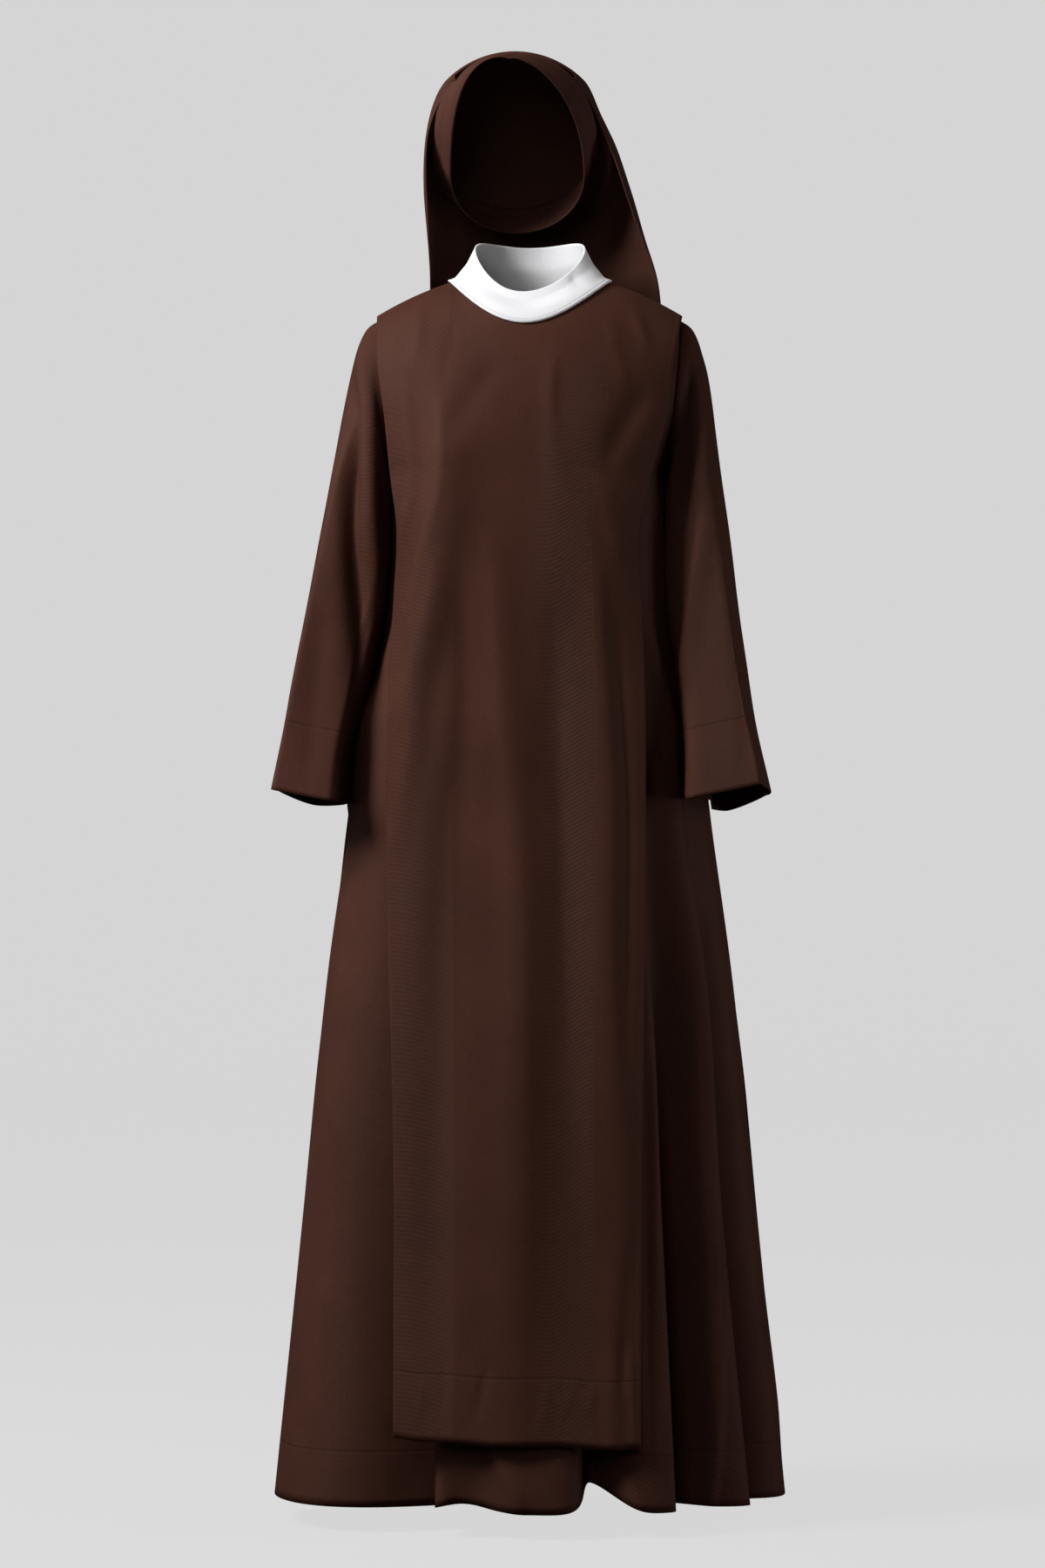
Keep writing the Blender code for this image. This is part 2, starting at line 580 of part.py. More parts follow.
def build():
    """Makes every piece of the habit."""
    clear_scene()
    habit = bpy.data.collections.new("nun_habit")
    bpy.context.scene.collection.children.link(habit)
    tunic_cloth = material("tunic_brown", BROWN, 0.72)
    scapular_cloth = material("scapular_brown", BROWN, 0.70)
    veil_cloth = material("veil_brown", BROWN, 0.75)
    white_cloth = material("collar_white", WHITE, 0.62)
    for side in FACING:
        sew(f"tunic_{side}", tunic_panel(side), CLOTH, habit, tunic_cloth)
        sew(f"scapular_{side}", scapular_panel(side), CLOTH, habit, scapular_cloth)
    for hand in SLEEVES:
        sew(f"sleeve_{hand}", sleeve(hand), CLOTH, habit, tunic_cloth, tube=True)
    sew("collar", collar(), COLLAR_CLOTH, habit, white_cloth, tube=True)
    sew("veil_band", veil_band(), CLOTH, habit, veil_cloth, tube=True)
    sew("veil", veil(), CLOTH, habit, veil_cloth)


build()
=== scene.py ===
"""Dresses the nun's habit: fine cloth over its solids, with folds, hems and stitching.

Each piece of cloth is a grid of points worked out from the same sizes as its solid. Soft ridges
and troughs are added along lines, and Solidify gives the cloth its thickness.
"""

import bpy
import numpy as np
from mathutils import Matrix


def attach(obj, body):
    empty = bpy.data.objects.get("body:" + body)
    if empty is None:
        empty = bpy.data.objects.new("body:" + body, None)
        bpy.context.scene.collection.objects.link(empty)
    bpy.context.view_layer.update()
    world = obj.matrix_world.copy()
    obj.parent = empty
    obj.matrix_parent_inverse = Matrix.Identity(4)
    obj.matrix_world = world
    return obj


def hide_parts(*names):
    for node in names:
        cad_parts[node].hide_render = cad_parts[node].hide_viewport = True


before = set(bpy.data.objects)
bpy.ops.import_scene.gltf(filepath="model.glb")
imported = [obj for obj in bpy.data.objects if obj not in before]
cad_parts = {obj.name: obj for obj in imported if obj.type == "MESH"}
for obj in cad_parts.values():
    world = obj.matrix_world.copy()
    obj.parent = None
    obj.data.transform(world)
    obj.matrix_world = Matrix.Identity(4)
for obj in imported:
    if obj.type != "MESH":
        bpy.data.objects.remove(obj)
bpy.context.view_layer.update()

# Cloth and gaps
CLOTH = 0.0016
COLLAR_CLOTH = 0.0022
SEAM = 0.0004
LAYER = 0.0046
SPREAD = 0.030
SCAPULAR_ROOM = 0.0105  # how far a trough of the scapular may go in towards the tunic

# Shoulders and chest
SHOULDER_TOP = 0.0285
SHOULDER_FALL = 1.73
SHOULDER_HALF = 0.170
UNDERARM_HALF = 0.157
UNDERARM_Z = -0.200
PLAN_ROUND = 2.25
ARMHOLE_DEEP = 0.872
ROUND = {"front": 2.0, "back": 2.6}
FACING = {"front": -1.0, "back": 1.0}
NECK_HALF = 0.088
NECK_DEPTH = {"front": 0.0855, "back": 0.0745}
HEM_Z = -1.3665
SCAPULAR_HEM_Z = -1.286
SCAPULAR_HEM_SLANT = 0.036
NECK_SHARE = 0.55
HEAD_X = -0.0170

# Widths of the turned-up hems
SLEEVE_HEM = 0.080
SCAPULAR_HEM = 0.075
TUNIC_HEM = 0.062
SIDE_HEM = 0.007
VEIL_HEM = 0.010

# Camera: level, this far from the middle plane of the garment
EYE_AWAY = 6.5
EYE_Z = -0.555
EYE_X = -0.0085
FRAME_HEIGHT = 1.8
FLOOR_Z = -1.395


def table(columns, *rows):
    """A short table as one array for each named column."""
    return dict(zip(columns.split(), np.array(rows, float).T))


LEVELS = table(
    "z half front back",
    (-0.200, 0.157, 0.127, 0.117),
    (-0.300, 0.162, 0.130, 0.118),
    (-0.395, 0.171, 0.132, 0.121),
    (-0.485, 0.191, 0.138, 0.129),
    (-0.620, 0.209, 0.150, 0.146),
    (-0.755, 0.2275, 0.164, 0.163),
    (-1.055, 0.2585, 0.192, 0.199),
    (HEM_Z, 0.2910, 0.222, 0.236),
)

# Folds of the skirt, as in the solids or a little deeper; "crisp" sharpens the edge before each
FOLDS = table(
    "hem top start depth before after crisp",
    (-29.5, -30.0, -0.50, 0.052, 17.0, 8.0, 2.0),
    (-12.0, -12.0, -1.10, 0.022, 7.0, 8.0, 2.0),
    (14.5, 13.0, -0.80, 0.056, 4.5, 4.5, 2.0),
    (40.0, 42.0, -0.38, 0.074, 5.0, 8.0, 3.2),
    (66.0, 62.0, -0.42, 0.058, 5.0, 8.0, 3.2),
    (104.0, 104.0, -0.50, 0.040, 7.0, 6.0, 2.6),
    (131.0, 128.0, -0.36, 0.052, 7.0, 8.0, 2.4),
    (158.0, 162.0, -0.44, 0.046, 8.0, 7.0, 2.2),
    (187.0, 184.0, -0.33, 0.054, 7.0, 8.0, 2.6),
    (210.0, 208.0, -0.46, 0.042, 7.0, 7.0, 2.2),
    (233.0, 232.0, -0.38, 0.050, 8.0, 6.0, 2.4),
    (254.0, 252.0, -0.52, 0.034, 6.0, 6.0, 2.0),
)
FOLD_GROWTH = 1.15
HEM_LIFT = table("place width lift", (15.0, 5.0, 0.030), (-14.0, 8.0, 0.010), (40.0, 6.0, 0.004))

SCAPULAR_EDGES = table(
    "z right left",
    (-0.020, 0.1745, 0.1745),
    (-0.077, 0.1730, 0.1630),
    (-0.142, 0.1643, 0.1535),
    (-0.2085, 0.1573, 0.1346),
    (-0.267, 0.1500, 0.1215),
    (-0.340, 0.1530, 0.1235),
    (-0.400, 0.1565, 0.1270),
    (-0.650, 0.1600, 0.1297),
    (-0.990, 0.1525, 0.1245),
    (SCAPULAR_HEM_Z, 0.1520, 0.1226),
)

SLEEVE_SECTION = "outer outer_z inner inner_z forward depth"
SLEEVES = {
    "left": table(
        SLEEVE_SECTION,
        (0.1700, -0.020, 0.1610, -0.200, 0.000, 0.059),
        (0.1870, -0.034, 0.1625, -0.222, 0.000, 0.062),
        (0.1985, -0.066, 0.1625, -0.246, 0.002, 0.065),
        (0.2085, -0.122, 0.1600, -0.284, 0.005, 0.067),
        (0.2180, -0.192, 0.1580, -0.330, 0.009, 0.069),
        (0.2310, -0.290, 0.1600, -0.390, 0.018, 0.071),
        (0.2430, -0.390, 0.1670, -0.450, 0.030, 0.073),
        (0.2570, -0.485, 0.1735, -0.515, 0.044, 0.075),
        (0.2745, -0.567, 0.1735, -0.572, 0.060, 0.077),
    ),
    "right": table(
        SLEEVE_SECTION,
        (0.1700, -0.020, 0.1610, -0.200, 0.000, 0.059),
        (0.1880, -0.034, 0.1625, -0.222, 0.000, 0.062),
        (0.2005, -0.066, 0.1640, -0.246, 0.002, 0.065),
        (0.2130, -0.122, 0.1640, -0.284, 0.004, 0.067),
        (0.2260, -0.192, 0.1650, -0.330, 0.007, 0.069),
        (0.2440, -0.290, 0.1690, -0.390, 0.013, 0.071),
        (0.2620, -0.390, 0.1810, -0.450, 0.022, 0.073),
        (0.2790, -0.485, 0.1990, -0.515, 0.033, 0.075),
        (0.2937, -0.561, 0.2045, -0.578, 0.045, 0.077),
    ),
}
SIDE = {"left": 1.0, "right": -1.0}
SLEEVE_ROUND = 2.3
CUFF_RISE = {"left": 0.0125, "right": 0.0}
CUFF_FALL = {"left": 0.017, "right": 0.010}
SLEEVE_CLEAR = 0.0042
SLEEVE_TUCK = {"left": 0.014, "right": 0.012}

# Section of a sleeve's pressed lower part, from its outer side round the front: each corner is
# given as shares of the half sizes, and the cloth runs straight from one to the next
PRESSED = {
    "left": table(
        "turn across fore",
        (0.0, 1.00, 0.20),
        (20.0, 0.90, 0.50),
        (40.0, 0.69, 1.00),
        (60.0, 0.50, 1.00),
        (140.0, -0.84, 0.90),
        (160.0, -0.97, 0.74),
        (180.0, -1.00, 0.05),
        (225.0, -0.74, -0.76),
        (270.0, 0.05, -1.00),
        (315.0, 0.82, -0.68),
        (360.0, 1.00, 0.20),
    ),
    "right": table(
        "turn across fore",
        (0.0, 1.00, 0.00),
        (20.0, 1.00, 0.50),
        (40.0, 0.96, 0.86),
        (120.0, -0.50, 1.00),
        (140.0, -0.76, 0.90),
        (160.0, -0.96, 0.44),
        (180.0, -1.00, 0.00),
        (225.0, -0.80, -0.74),
        (270.0, 0.00, -1.00),
        (315.0, 0.84, -0.78),
        (360.0, 1.00, 0.00),
    ),
}
PRESSED_SOFT = 5
ARMHOLE_TUCK = 0.0034

COLLAR_TOP = {"half": 0.0615, "front": 0.064, "back": 0.062}
COLLAR_LOW = {"half": 0.0935, "front": 0.0955, "back": 0.080}
COLLAR_INSET = 0.009
COLLAR_RISE = (0.058, -0.0315, -0.0235)
COLLAR_GAP = 0.0010
COLLAR_LEAN = 0.005  # towards the wearer's right in front
COLLAR_WAIST = 0.0030  # how far the middle of the collar is drawn in

BAND_RINGS = table(
    "half middle up down top_y foot_y",
    (0.0735, 0.145, 0.1265, 0.060, -0.060, 0.072),
    (0.0930, 0.168, 0.1090, 0.067, -0.046, 0.089),
    (0.0905, 0.188, 0.0895, 0.072, -0.028, 0.101),
)
BAND_ROUND = 2.1
BAND_LEAN = 0.014
BAND_WIDER = 0.07

VEIL_ARCS = table(
    "ky kz py pz wrap right left",
    (-0.012, 0.178, -0.034, 0.2796, 50.0, 0.1040, 0.1040),
    (-0.020, 0.178, 0.014, 0.2845, 60.0, 0.1050, 0.1060),
    (-0.022, 0.168, 0.062, 0.2700, 73.0, 0.1060, 0.1080),
    (-0.012, 0.146, 0.102, 0.2360, 84.0, 0.1055, 0.1200),
    (0.004, 0.115, 0.122, 0.1800, 90.0, 0.1035, 0.1320),
    (0.012, 0.070, 0.128, 0.1200, 90.0, 0.1005, 0.1475),
    (0.038, 0.026, 0.131, 0.0600, 90.0, 0.0970, 0.1630),
    (0.086, -0.026, 0.129, -0.0050, 90.0, 0.0985, 0.1700),
    (0.104, -0.090, 0.122, -0.0800, 90.0, 0.1060, 0.1740),
    (0.106, -0.180, 0.118, -0.1750, 90.0, 0.1150, 0.1770),
    (0.112, -0.290, 0.122, -0.2880, 90.0, 0.1220, 0.1790),
    (0.120, -0.420, 0.132, -0.4200, 90.0, 0.1270, 0.1800),
)
VEIL_TURN = 0.0070
VEIL_CORNER = 0.0070  # how much more it turns in at the corners by the crown
VEIL_WIDER = 0.035
VEIL_CLEAR = 0.0009
VEIL_RIDGES = table(
    "place width depth start",
    (-0.72, 0.13, 0.012, 5.0),
    (-0.30, 0.12, 0.015, 4.0),
    (0.08, 0.12, 0.013, 5.0),
    (0.42, 0.12, 0.016, 4.0),
    (0.78, 0.12, 0.012, 5.0),
)

# Short soft folds of the veil from the temples down to the shoulders: place across it, how far
# that moves with each row, width, lift and the rows between which the fold runs
VEIL_FOLDS = table(
    "place drift width lift start end",
    (-0.62, 0.02, 0.09, 0.0050, 2.5, 8.0),
    (0.58, -0.01, 0.10, 0.0060, 2.0, 8.5),
    (0.30, 0.0, 0.08, -0.0030, 3.0, 9.0),
)

# Creases. Each runs along a line from one place to another, in millimetres across from the left
# and down from the top of a plane through the neck, as seen from straight ahead. "before" and
# "after" are its widths on the two sides, "height" is out of the cloth where it is positive.
CREASE = "across down to_across to_down before after height"
SCAPULAR_CREASES = {
    "front": table(
        CREASE,
        (740, 450, 694, 530, 16, 13, -3.0),
        (692, 560, 712, 640, 10, 14, 2.0),
        (566, 420, 512, 500, 14, 14, -1.8),
        (484, 352, 478, 410, 7, 7, 1.4),
        (520, 372, 512, 430, 8, 7, -1.2),
        (700, 372, 716, 440, 8, 9, 1.2),
        (724, 340, 742, 400, 7, 7, 1.4),
        (614, 752, 626, 768, 4, 4, 1.2),
        (487, 1584, 480, 1620, 4, 5, 0.9),
        (510, 1560, 506, 1630, 6, 6, -0.9),
        (559, 1570, 548, 1622, 6, 7, -1.2),
        (630, 1592, 620, 1640, 5, 5, 0.9),
        (657, 1592, 646, 1625, 4, 4, 0.7),
        (684, 1592, 672, 1622, 4, 5, 0.8),
        (724, 1560, 728, 1660, 5, 5, 1.4),
        (714, 1540, 712, 1600, 5, 5, -1.4),
    ),
    "back": table(
        CREASE,
        (470, 470, 520, 640, 10, 12, 3.4),
        (735, 440, 700, 650, 12, 9, 3.4),
        (560, 560, 556, 900, 20, 22, -2.6),
        (640, 600, 646, 1000, 18, 20, -2.8),
        (500, 800, 508, 1300, 14, 18, 3.0),
        (700, 760, 690, 1240, 16, 14, 3.0),
        (600, 900, 596, 1480, 22, 26, 2.6),
        (540, 1200, 530, 1560, 16, 18, -2.2),
        (676, 1240, 668, 1560, 14, 16, -2.0),
        (520, 1590, 512, 1630, 5, 5, 1.1),
        (612, 1590, 622, 1634, 5, 5, 1.1),
        (690, 1592, 684, 1630, 4, 5, 1.0),
    ),
}
# Folds that wind down the front of the scapular, in the same measures
FOLD_LINE = "down across height before after"
SCAPULAR_FOLDS = (
    # From the wearer's right shoulder over the chest, and off the edge at the elbow
    table(
        FOLD_LINE,
        (440, 506, 0.0, 16, 20), (480, 510, 5.0, 18, 24),
        (520, 512, 9.0, 22, 30), (570, 508, 10.5, 24, 30),
        (620, 501, 10.5, 22, 26), (680, 496, 11.0, 22, 22),
        (740, 486, 11.0, 20, 20), (800, 476, 9.5, 18, 18),
        (860, 470, 7.0, 14, 18), (920, 461, 4.0, 12, 18),
        (990, 452, 0.0, 12, 16),
    ),
    # A sharp line on that fold
    table(
        FOLD_LINE,
        (450, 506, 0.0, 5, 8), (490, 507, 1.6, 4, 8),
        (560, 506, 2.0, 4, 8), (600, 497, 2.4, 4, 8),
        (640, 487, 2.4, 4, 8), (680, 477, 2.4, 4, 8),
        (760, 475, 2.6, 4, 8), (800, 467, 2.2, 4, 8),
        (850, 460, 0.0, 4, 8),
    ),
    # A second one nearer the edge
    table(
        FOLD_LINE,
        (415, 466, 0.0, 5, 7), (450, 466, 1.4, 4, 7),
        (490, 470, 2.2, 5, 7), (530, 475, 2.6, 5, 8),
        (565, 475, 2.2, 5, 8), (600, 466, 2.0, 5, 7),
        (640, 458, 0.0, 5, 7),
    ),
    # Long hollow from the chest down the wearer's right
    table(
        FOLD_LINE,
        (620, 522, 0.0, 14, 14), (700, 532, -2.4, 14, 16),
        (800, 534, -4.4, 18, 20), (880, 528, -6.0, 22, 24),
        (960, 518, -7.6, 28, 30), (1080, 511, -8.4, 32, 34),
        (1240, 505, -8.0, 34, 34), (1400, 500, -6.0, 30, 34),
        (1520, 496, -4.0, 26, 30), (1680, 492, -2.4, 24, 28),
    ),
    # Broad ridge down the middle
    table(
        FOLD_LINE,
        (600, 562, 0.0, 14, 18), (660, 570, 2.6, 14, 20),
        (740, 575, 4.6, 15, 24), (820, 582, 6.0, 18, 26),
        (900, 589, 7.4, 20, 24), (1000, 597, 9.0, 26, 24),
        (1120, 600, 10.0, 32, 24), (1280, 600, 10.5, 34, 24),
        (1400, 600, 10.0, 38, 28), (1520, 594, 8.0, 38, 34),
        (1680, 588, 5.0, 34, 40),
    ),
    # Hollow beside it
    table(
        FOLD_LINE,
        (660, 640, 0.0, 16, 16), (740, 640, -3.2, 20, 18),
        (840, 641, -4.6, 20, 18), (960, 646, -5.4, 18, 20),
        (1120, 651, -5.6, 20, 22), (1280, 658, -4.6, 24, 22),
        (1440, 670, -3.4, 28, 20), (1620, 676, -2.4, 26, 20),
    ),
    # Ridge near the wearer's left edge, with a narrow crease before the edge
    table(
        FOLD_LINE,
        (640, 686, 0.0, 12, 10), (700, 688, 3.0, 14, 10),
        (800, 694, 4.2, 16, 11), (900, 700, 4.6, 18, 12),
        (1040, 700, 4.6, 18, 13), (1200, 704, 3.6, 18, 15),
        (1360, 716, 2.8, 18, 16), (1520, 706, 2.2, 14, 9),
        (1640, 704, 2.0, 12, 9),
    ),
    table(
        FOLD_LINE,
        (700, 706, 0.0, 5, 6), (780, 712, -2.0, 6, 6),
        (880, 718, -2.4, 6, 7), (1000, 720, -2.4, 6, 7),
        (1120, 718, -2.0, 6, 7), (1240, 716, 0.0, 6, 7),
    ),
    # Soft streaks below the collar
    table(
        FOLD_LINE,
        (395, 640, 0.0, 12, 6), (440, 634, 1.6, 12, 6),
        (480, 634, 1.6, 12, 8), (540, 640, 1.6, 16, 18),
        (600, 648, 0.0, 16, 18),
    ),
)
# The same on the front of the tunic: a valley beside the scapular, and a ridge beyond its other side
TUNIC_FOLDS = (
    table(
        FOLD_LINE,
        (760, 450, 0.0, 20, 8), (900, 456, -9.0, 26, 10),
        (1100, 460, -24.0, 34, 14), (1300, 462, -32.0, 40, 14),
        (1500, 464, -37.0, 42, 16), (1800, 464, -40.0, 42, 16),
    ),
    table(
        FOLD_LINE,
        (980, 796, 0.0, 20, 8), (1150, 804, 10.0, 24, 8),
        (1300, 811, 14.0, 26, 8), (1450, 819, 16.0, 28, 8),
        (1600, 827, 18.0, 28, 8), (1800, 832, 18.0, 28, 8),
    ),
)
TUNIC_CREASES = {
    "front": table(
        CREASE,
        (452, 722, 424, 860, 5, 9, 4.0),
        (446, 726, 436, 775, 4, 5, -2.4),
        (445, 752, 410, 900, 8, 10, 2.2),
        (742, 722, 778, 850, 6, 8, 4.0),
        (748, 780, 772, 900, 6, 7, -2.6),
        (756, 560, 762, 690, 5, 6, 2.2),
        (396, 1050, 372, 1500, 14, 18, 1.6),
        (416, 1080, 410, 1560, 12, 14, -1.6),
        (372, 1480, 360, 1650, 9, 10, 1.8),
        (415, 1640, 424, 1720, 9, 12, -3.0),
        (408, 838, 404, 930, 16, 14, 5.0),
        (428, 800, 424, 950, 14, 24, 8.0),
        (757, 1100, 750, 1500, 5, 6, 1.8),
        (742, 1200, 744, 1640, 6, 6, -1.6),
        (885, 1400, 890, 1650, 8, 8, 2.4),
        (560, 1655, 598, 1734, 8, 14, 5.0),
        (500, 1680, 520, 1735, 12, 12, -4.0),
    ),
    "back": table(
        CREASE,
        (430, 760, 402, 1000, 10, 12, 3.0),
        (760, 760, 800, 1000, 12, 10, 3.0),
        (380, 1200, 350, 1600, 12, 14, 2.4),
        (846, 1200, 870, 1600, 12, 12, 2.4),
    ),
}
SLEEVE_CREASES = {
    "left": table(
        CREASE,
        (823, 470, 873, 915, 4, 3, 2.6),
        (808, 590, 782, 770, 5, 16, 5.0),
        (796, 420, 783, 585, 12, 9, -8.0),
        (772, 520, 770, 700, 6, 6, 2.4),
        (812, 400, 808, 570, 9, 14, 3.6),
        (792, 760, 806, 900, 10, 12, 1.6),
        (838, 640, 856, 880, 9, 8, -2.6),
    ),
    "right": table(
        CREASE,
        (404, 372, 380, 560, 9, 12, 3.0),
        (352, 600, 330, 820, 12, 14, 1.8),
        (372, 700, 352, 900, 12, 12, -1.6),
    ),
}
# Long folds of the sleeves: a deep trough down the wearer's right one, with a roll beside it
SLEEVE_FOLDS = {
    "left": (),
    "right": (
        table(
            FOLD_LINE,
            (395, 397, 0.0, 12, 8), (440, 400, -9.0, 13, 9),
            (510, 404, -16.0, 14, 9), (610, 406, -17.0, 15, 9),
            (660, 412, -15.0, 16, 9), (720, 418, -12.0, 16, 8),
            (770, 416, -7.0, 15, 6), (840, 408, 0.0, 14, 6),
        ),
        table(
            FOLD_LINE,
            (410, 426, 0.0, 9, 9), (460, 426, 3.0, 9, 9),
            (520, 426, 4.5, 9, 9), (600, 428, 4.5, 9, 9),
            (660, 434, 3.0, 8, 8), (740, 442, 0.0, 8, 8),
        ),
    ),
}
SLEEVE_BACK_CREASES = {
    "left": table(
        CREASE,
        (800, 420, 792, 600, 10, 10, -3.6),
        (830, 480, 846, 800, 10, 12, 2.6),
        (806, 620, 800, 860, 10, 12, -2.4),
    ),
    "right": table(
        CREASE,
        (410, 420, 416, 600, 10, 10, -3.6),
        (380, 480, 356, 800, 12, 10, 2.6),
        (400, 620, 390, 860, 10, 12, -2.4),
    ),
}


def ease(t):
    """A soft step from 0 to 1."""
    t = np.clip(t, 0.0, 1.0)
    return t * t * (3.0 - 2.0 * t)


def curve(keys, values, at):
    """Smooth curve through a table's values: a cubic between rows, sloped by its neighbours."""
    order = np.argsort(keys)
    keys, values = keys[order], values[order]
    slope = np.gradient(values, keys)
    at = np.clip(at, keys[0], keys[-1])
    i = np.clip(np.searchsorted(keys, at) - 1, 0, len(keys) - 2)
    step = keys[i + 1] - keys[i]
    t = (at - keys[i]) / step
    start = (1 + 2 * t) * (1 - t) ** 2 * values[i] + t * (1 - t) ** 2 * step * slope[i]
    end = t * t * (3 - 2 * t) * values[i + 1] + t * t * (t - 1) * step * slope[i + 1]
    return start + end


def bell(x):
    """Bell curve: 1 at 0 and falling off on both sides as exp(-x^2)."""
    return np.exp(-(x**2))


def bend(share, power):
    """Quarter of a rounded outline: 0 at share 0 with an upright start, 1 at share 1."""
    return (1.0 - (1.0 - np.clip(share, 0.0, 1.0)) ** power) ** (1.0 / power)


def ridge(x):
    """Height of the shoulder ridge."""
    return SHOULDER_TOP - SHOULDER_FALL * x * x


def edge_height(drop):
    """Height on the armhole's edge at a drop of 0 (shoulder) to 1 (underarm)."""
    return ridge(SHOULDER_HALF) + (UNDERARM_Z - ridge(SHOULDER_HALF)) * drop


def arm_half(drop):
    """Distance of the armhole's edge from the middle."""
    return SHOULDER_HALF + (UNDERARM_HALF - SHOULDER_HALF) * ease(drop)


def chest_half(drop):
    """Half width of the chest's full outline, which the armhole's edge meets at the underarm."""
    return arm_half(drop) / (ARMHOLE_DEEP + (1.0 - ARMHOLE_DEEP) * drop**2.5)


def depth(side, x, z, drop, out, spread):
    """Distance of the body's surface from the middle plane, before the shoulder's curve."""
    yoke = chest_half(drop)
    skirt = curve(LEVELS["z"], LEVELS["half"], z)
    half = np.where(z > UNDERARM_Z, yoke, skirt) + out + spread
    reach = curve(LEVELS["z"], LEVELS[side], z) + out
    share = np.clip(np.abs(x) / half, 0.0, 1.0)
    return reach * (1.0 - share**PLAN_ROUND) ** (1.0 / PLAN_ROUND)


def surface(side, x, z, out, spread):
    """Distance from the middle plane of the point of the body's surface at x and z."""
    top = ridge(x) + out
    drop = np.clip((top - z) / (top - UNDERARM_Z), 0.0, 1.0)
    return depth(side, x, z, drop, out, spread) * bend(drop, ROUND[side])


def lie_on(x, y, out, spread):
    """Height of the shoulder's surface at x and y, found by a few repeated steps."""
    z = ridge(x) + out
    top = z.copy()
    for side, facing in FACING.items():
        drop = np.full_like(x, 0.1)
        for _ in range(8):
            reach = depth(side, x, np.full_like(x, -0.1), drop, out, spread)
            share = np.clip(np.abs(y) / reach, 0.0, 0.999)
            drop = 1.0 - (1.0 - share ** ROUND[side]) ** (1.0 / ROUND[side])
        on_side = y * facing > 0.0
        z = np.where(on_side, top - (top - UNDERARM_Z) * drop, z)
    return z


def top_places(places, shoulder):
    """Places of the columns on the top edge: even steps round the neckline and on the seams."""
    count = len(places) - 1
    neck_steps = 2 * round(count * NECK_SHARE / 2)
    seam_steps = (count - neck_steps) // 2
    seam = np.linspace(NECK_HALF, shoulder.max(), seam_steps + 1)[1:]
    neckline = NECK_HALF * np.sin(np.linspace(-np.pi / 2.0, np.pi / 2.0, neck_steps + 1))
    x = np.concatenate([-seam[::-1], neckline, seam])
    return x / shoulder.max() * np.sign(places[-1])


def panel(side, places, edge, out, spread, hem, yoke_rows, skirt_rows):
    """Sheet from the shoulder seam and neckline down to the hem.

    A column at place s (-1 to 1) runs at s times the panel's edge. Over the shoulder it follows
    a quarter of a rounded outline by the angle a: the drop is 1 - cos(a)^(2/m), the distance
    from the middle plane is the body's depth times sin(a)^(2/m). Below the arms it goes down in
    equal steps on the body's levels.
    """
    power = ROUND[side]
    high_places = top_places(places, edge(edge_height(0.0), places))
    x_top = high_places * edge(edge_height(0.0), places)
    open_share = np.clip(1.0 - (x_top / NECK_HALF) ** 2, 0.0, 1.0)
    neck = NECK_DEPTH[side] * np.sqrt(open_share)
    reach = depth(side, x_top, np.full_like(x_top, 0.0), 0.0, out, spread)
    neck_drop = 1.0 - (1.0 - (neck / reach) ** power) ** (1.0 / power)
    first = np.arccos((1.0 - neck_drop) ** (power / 2.0))
    t = np.linspace(0.0, 1.0, yoke_rows + 1)[:, None]
    angle = first + (np.pi / 2.0 - first) * t
    drop = 1.0 - np.maximum(np.cos(angle), 0.0) ** (2.0 / power)
    yoke_places = high_places + (places - high_places) * ease(t)
    x = yoke_places * edge(edge_height(drop), places)
    top = ridge(x) + out
    z = top + (UNDERARM_Z - top) * drop
    y = depth(side, x, z, drop, out, spread) * np.sin(angle) ** (2.0 / power)
    t = np.linspace(0.0, 1.0, skirt_rows + 1)[1:, None]
    low_z = UNDERARM_Z + (hem - UNDERARM_Z) * t
    low_x = places * edge(low_z, places)
    low_y = depth(side, low_x, low_z, np.ones_like(low_z), out, spread)
    y = FACING[side] * (np.vstack([y, low_y]) + SEAM / 2.0)
    return np.stack([np.vstack([x, low_x]), y, np.vstack([z, low_z])], axis=-1)


def tunic_edge(height, places):
    """Half width of the tunic's panels: the armhole's edge, then the side seam."""
    drop = (ridge(SHOULDER_HALF) - height) / (ridge(SHOULDER_HALF) - UNDERARM_Z)
    below = curve(LEVELS["z"], LEVELS["half"], height)
    return np.where(height > UNDERARM_Z, arm_half(np.clip(drop, 0.0, 1.0)), below)


def scapular_edge(height, places):
    """Half width of the scapular, on the wearer's right where the place is negative."""
    right = curve(SCAPULAR_EDGES["z"], SCAPULAR_EDGES["right"], height)
    left = curve(SCAPULAR_EDGES["z"], SCAPULAR_EDGES["left"], height)
    return np.where(places < 0.0, right, left)


def from_fold(angle, place):
    """Signed angle from a fold to a place round the body, both in degrees."""
    return (angle - place + 180.0) % 360.0 - 180.0


def fold_depth(angle, z):
    """How far the folds draw the skirt in: the sum of uneven bell curves, one for each fold.

    The share across a trough is exp(-|t|^p), where p is the trough's crispness on the side
    where its edge stands up and 2 on the other.
    """
    total = np.zeros(np.broadcast(angle, z).shape)
    for hem, top, start, deep, before, after, crisp in zip(*FOLDS.values()):
        grown = np.clip((start - z) / (start - HEM_Z), 0.0, None)
        away = from_fold(angle, top + (hem - top) * np.minimum(grown, 1.0))
        flank = np.where(away < 0.0, before * (1.0 + 0.18 * (crisp - 2.0)), after)
        power = np.where(away < 0.0, crisp, 2.0)
        total = total + deep * grown**FOLD_GROWTH * np.exp(-(np.abs(away / flank) ** power))
    return total


